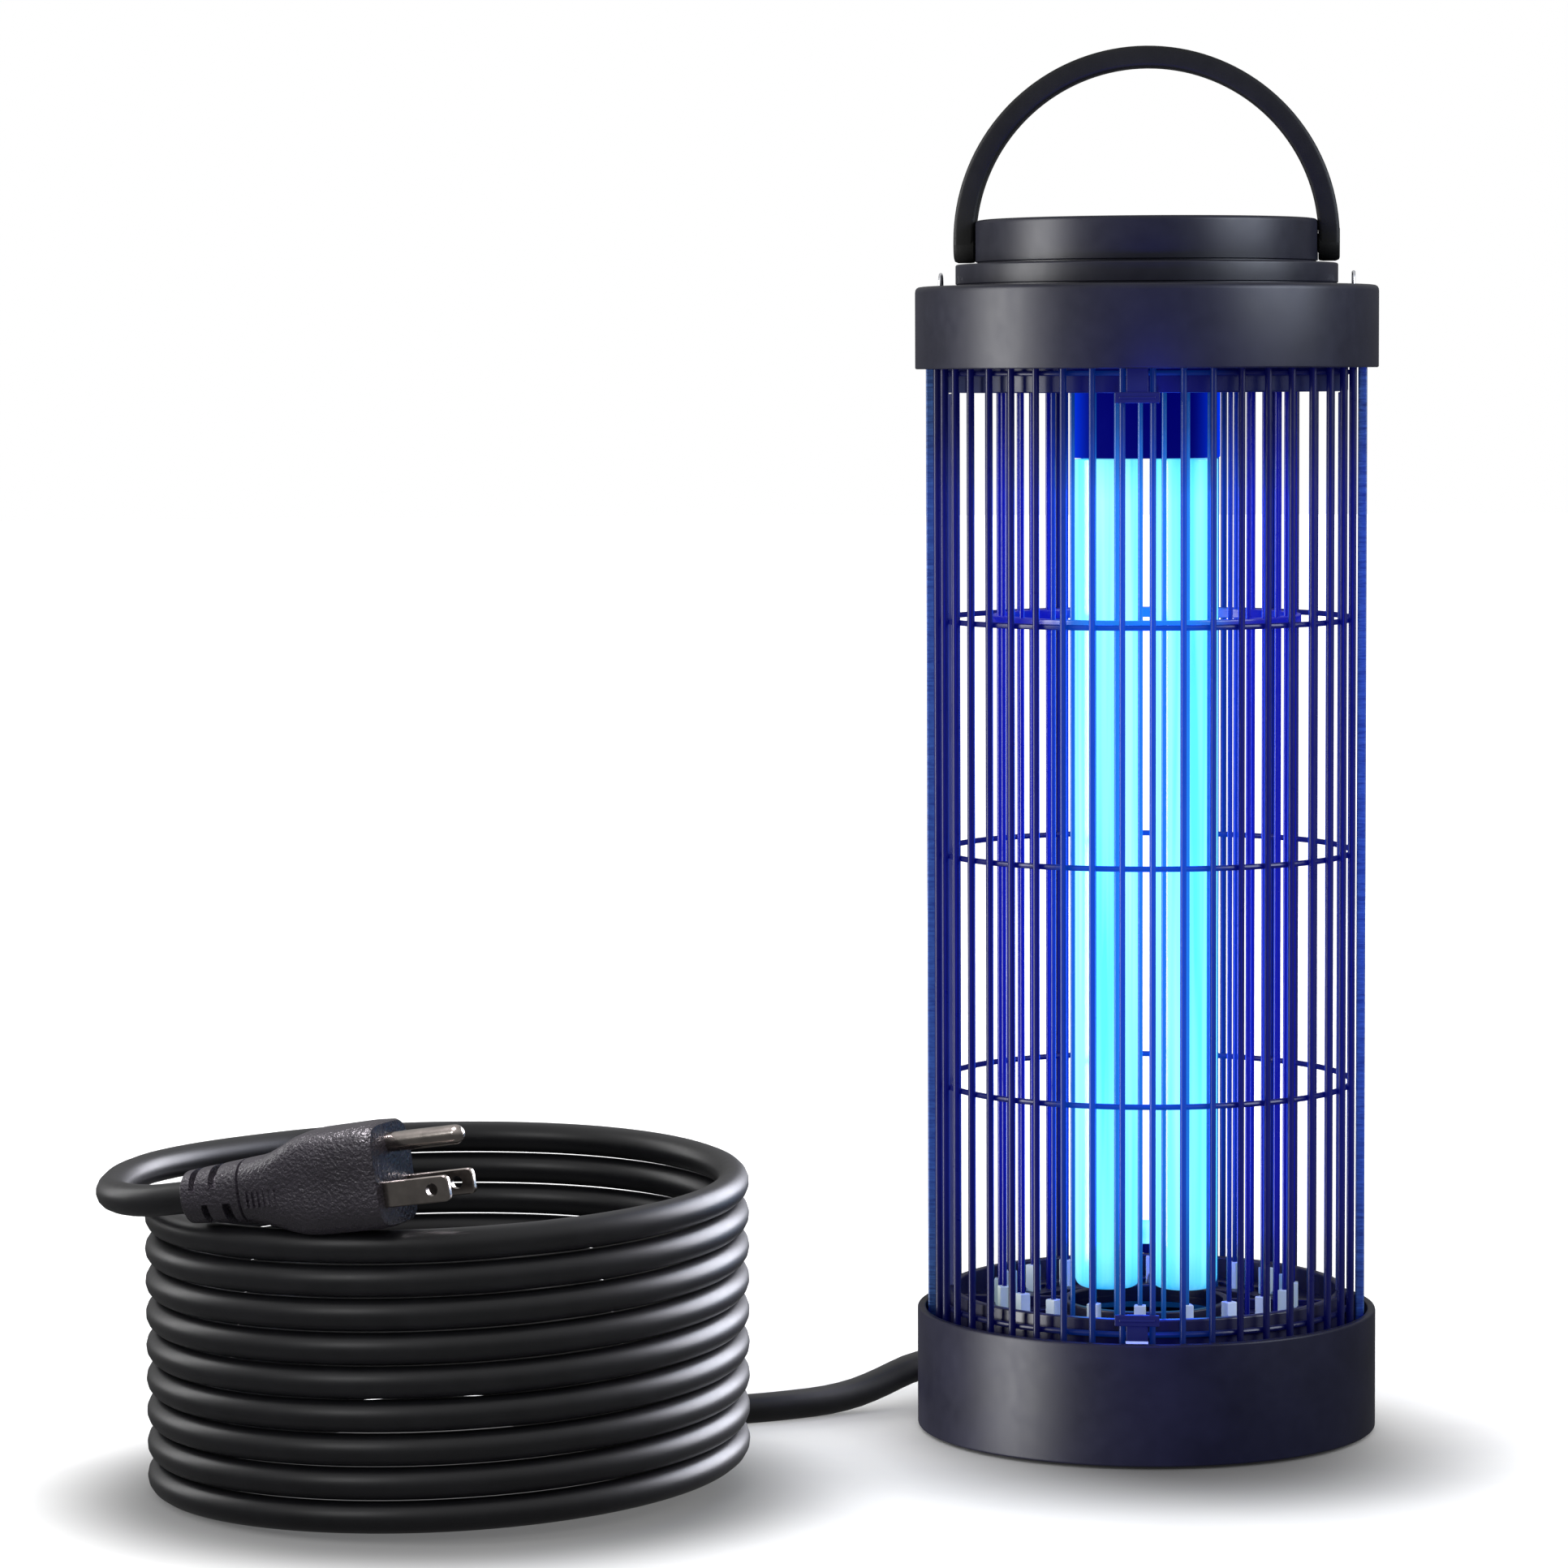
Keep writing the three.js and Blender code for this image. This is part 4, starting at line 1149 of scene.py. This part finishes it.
def make_stage():
    """A pale floor whose glow whitens it away from the object and fades next to it, a painted shade,
    with painted contact shadows where the base and the coil stand on it."""
    bm = bmesh.new()
    bmesh.ops.create_circle(bm, cap_ends=True, segments=96, radius=FLOOR_RADIUS)
    data = bpy.data.meshes.new("floor")
    bm.to_mesh(data)
    bm.free()
    n = Nodes("floor_white")
    s = n.shader.inputs
    s["Roughness"].default_value = 0.9
    s["Specular IOR Level"].default_value = 0.05
    base_shade, coil_shade = (n.fade(n.away(x["center"]), x["reach"], (x["depth"], 1))
                              for x in CONTACT_SHADES)
    shade = n.calc("MULTIPLY", base_shade, coil_shade)
    n.link(n.tint(n.ramp(n.noise(40), FLOOR_LOW, FLOOR_HIGH), shade), s["Base Color"])
    outward = n.fade(n.away((0, 0)), (0, FLOOR_GLOW_REACH), (0, 1), "LINEAR")
    n.link(n.calc("MULTIPLY", shade, n.stops(outward, FLOOR_GLOW)), s["Emission Strength"])
    s["Emission Color"].default_value = (1, 1, 1, 1)
    data.materials.append(n.material)
    floor = bpy.data.objects.new("floor", data)
    bpy.context.collection.objects.link(floor)
    floor.visible_glossy = False


def make_world():
    """A white backdrop that lights the scene as a bright ceiling over a dim room."""
    world = bpy.data.worlds.new("world")
    bpy.context.scene.world = world
    world.use_nodes = True
    nodes, links = world.node_tree.nodes, world.node_tree.links
    back = nodes["Background"]
    coords = nodes.new("ShaderNodeTexCoord")
    parts = nodes.new("ShaderNodeSeparateXYZ")
    links.new(coords.outputs["Generated"], parts.inputs[0])
    dome = nodes.new("ShaderNodeValToRGB")
    for element, place, level in zip(dome.color_ramp.elements, (0.0, CEILING_START),
                                     (HORIZON_LIGHT, CEILING_LIGHT)):
        element.position = place
        element.color = (level, level, level, 1)
    links.new(parts.outputs["Z"], dome.inputs["Fac"])
    path = nodes.new("ShaderNodeLightPath")
    mix = nodes.new("ShaderNodeMix")
    mix.data_type = "RGBA"
    links.new(path.outputs["Is Camera Ray"], mix.inputs["Factor"])
    links.new(dome.outputs["Color"], mix.inputs["A"])
    mix.inputs["B"].default_value = (1, 1, 1, 1)
    links.new(mix.outputs["Result"], back.inputs["Color"])


def light_set(name, pieces):
    """A set of objects that chosen lights reach."""
    chosen = bpy.data.collections.new(name)
    for piece in pieces:
        chosen.objects.link(piece)
    return chosen


def make_lights():
    """Soft boxes for the zapper, the cord and the floor, and the lamp's own blue light."""
    objects = bpy.data.objects
    cords = [cord, *plug_pieces]
    moulded = ("plug_moulding", "strain_relief")
    shown = [x for x in objects if x.type in ("MESH", "CURVE") and x.name != "floor"]
    sets = {
        "zapper": [x for x in shown if x not in cords],
        "base": [objects["base_tub"], objects["cord_port"]],
        "cord": cords,
        "bright": [x for x in cords if x.name not in moulded],
        "plug": plug_pieces,
        "floor": [objects["floor"]],
    }
    sets = {name: light_set(f"{name}_set", pieces) for name, pieces in sets.items()}
    for name, reached, shading, *how in LIGHTS:
        light = area_light(name, *how)
        light.light_linking.receiver_collection = sets[reached]
        if shading:
            light.light_linking.blocker_collection = sets[shading]


make_stage()
make_world()
make_lights()
bpy.context.scene.view_settings.view_transform = "Standard"
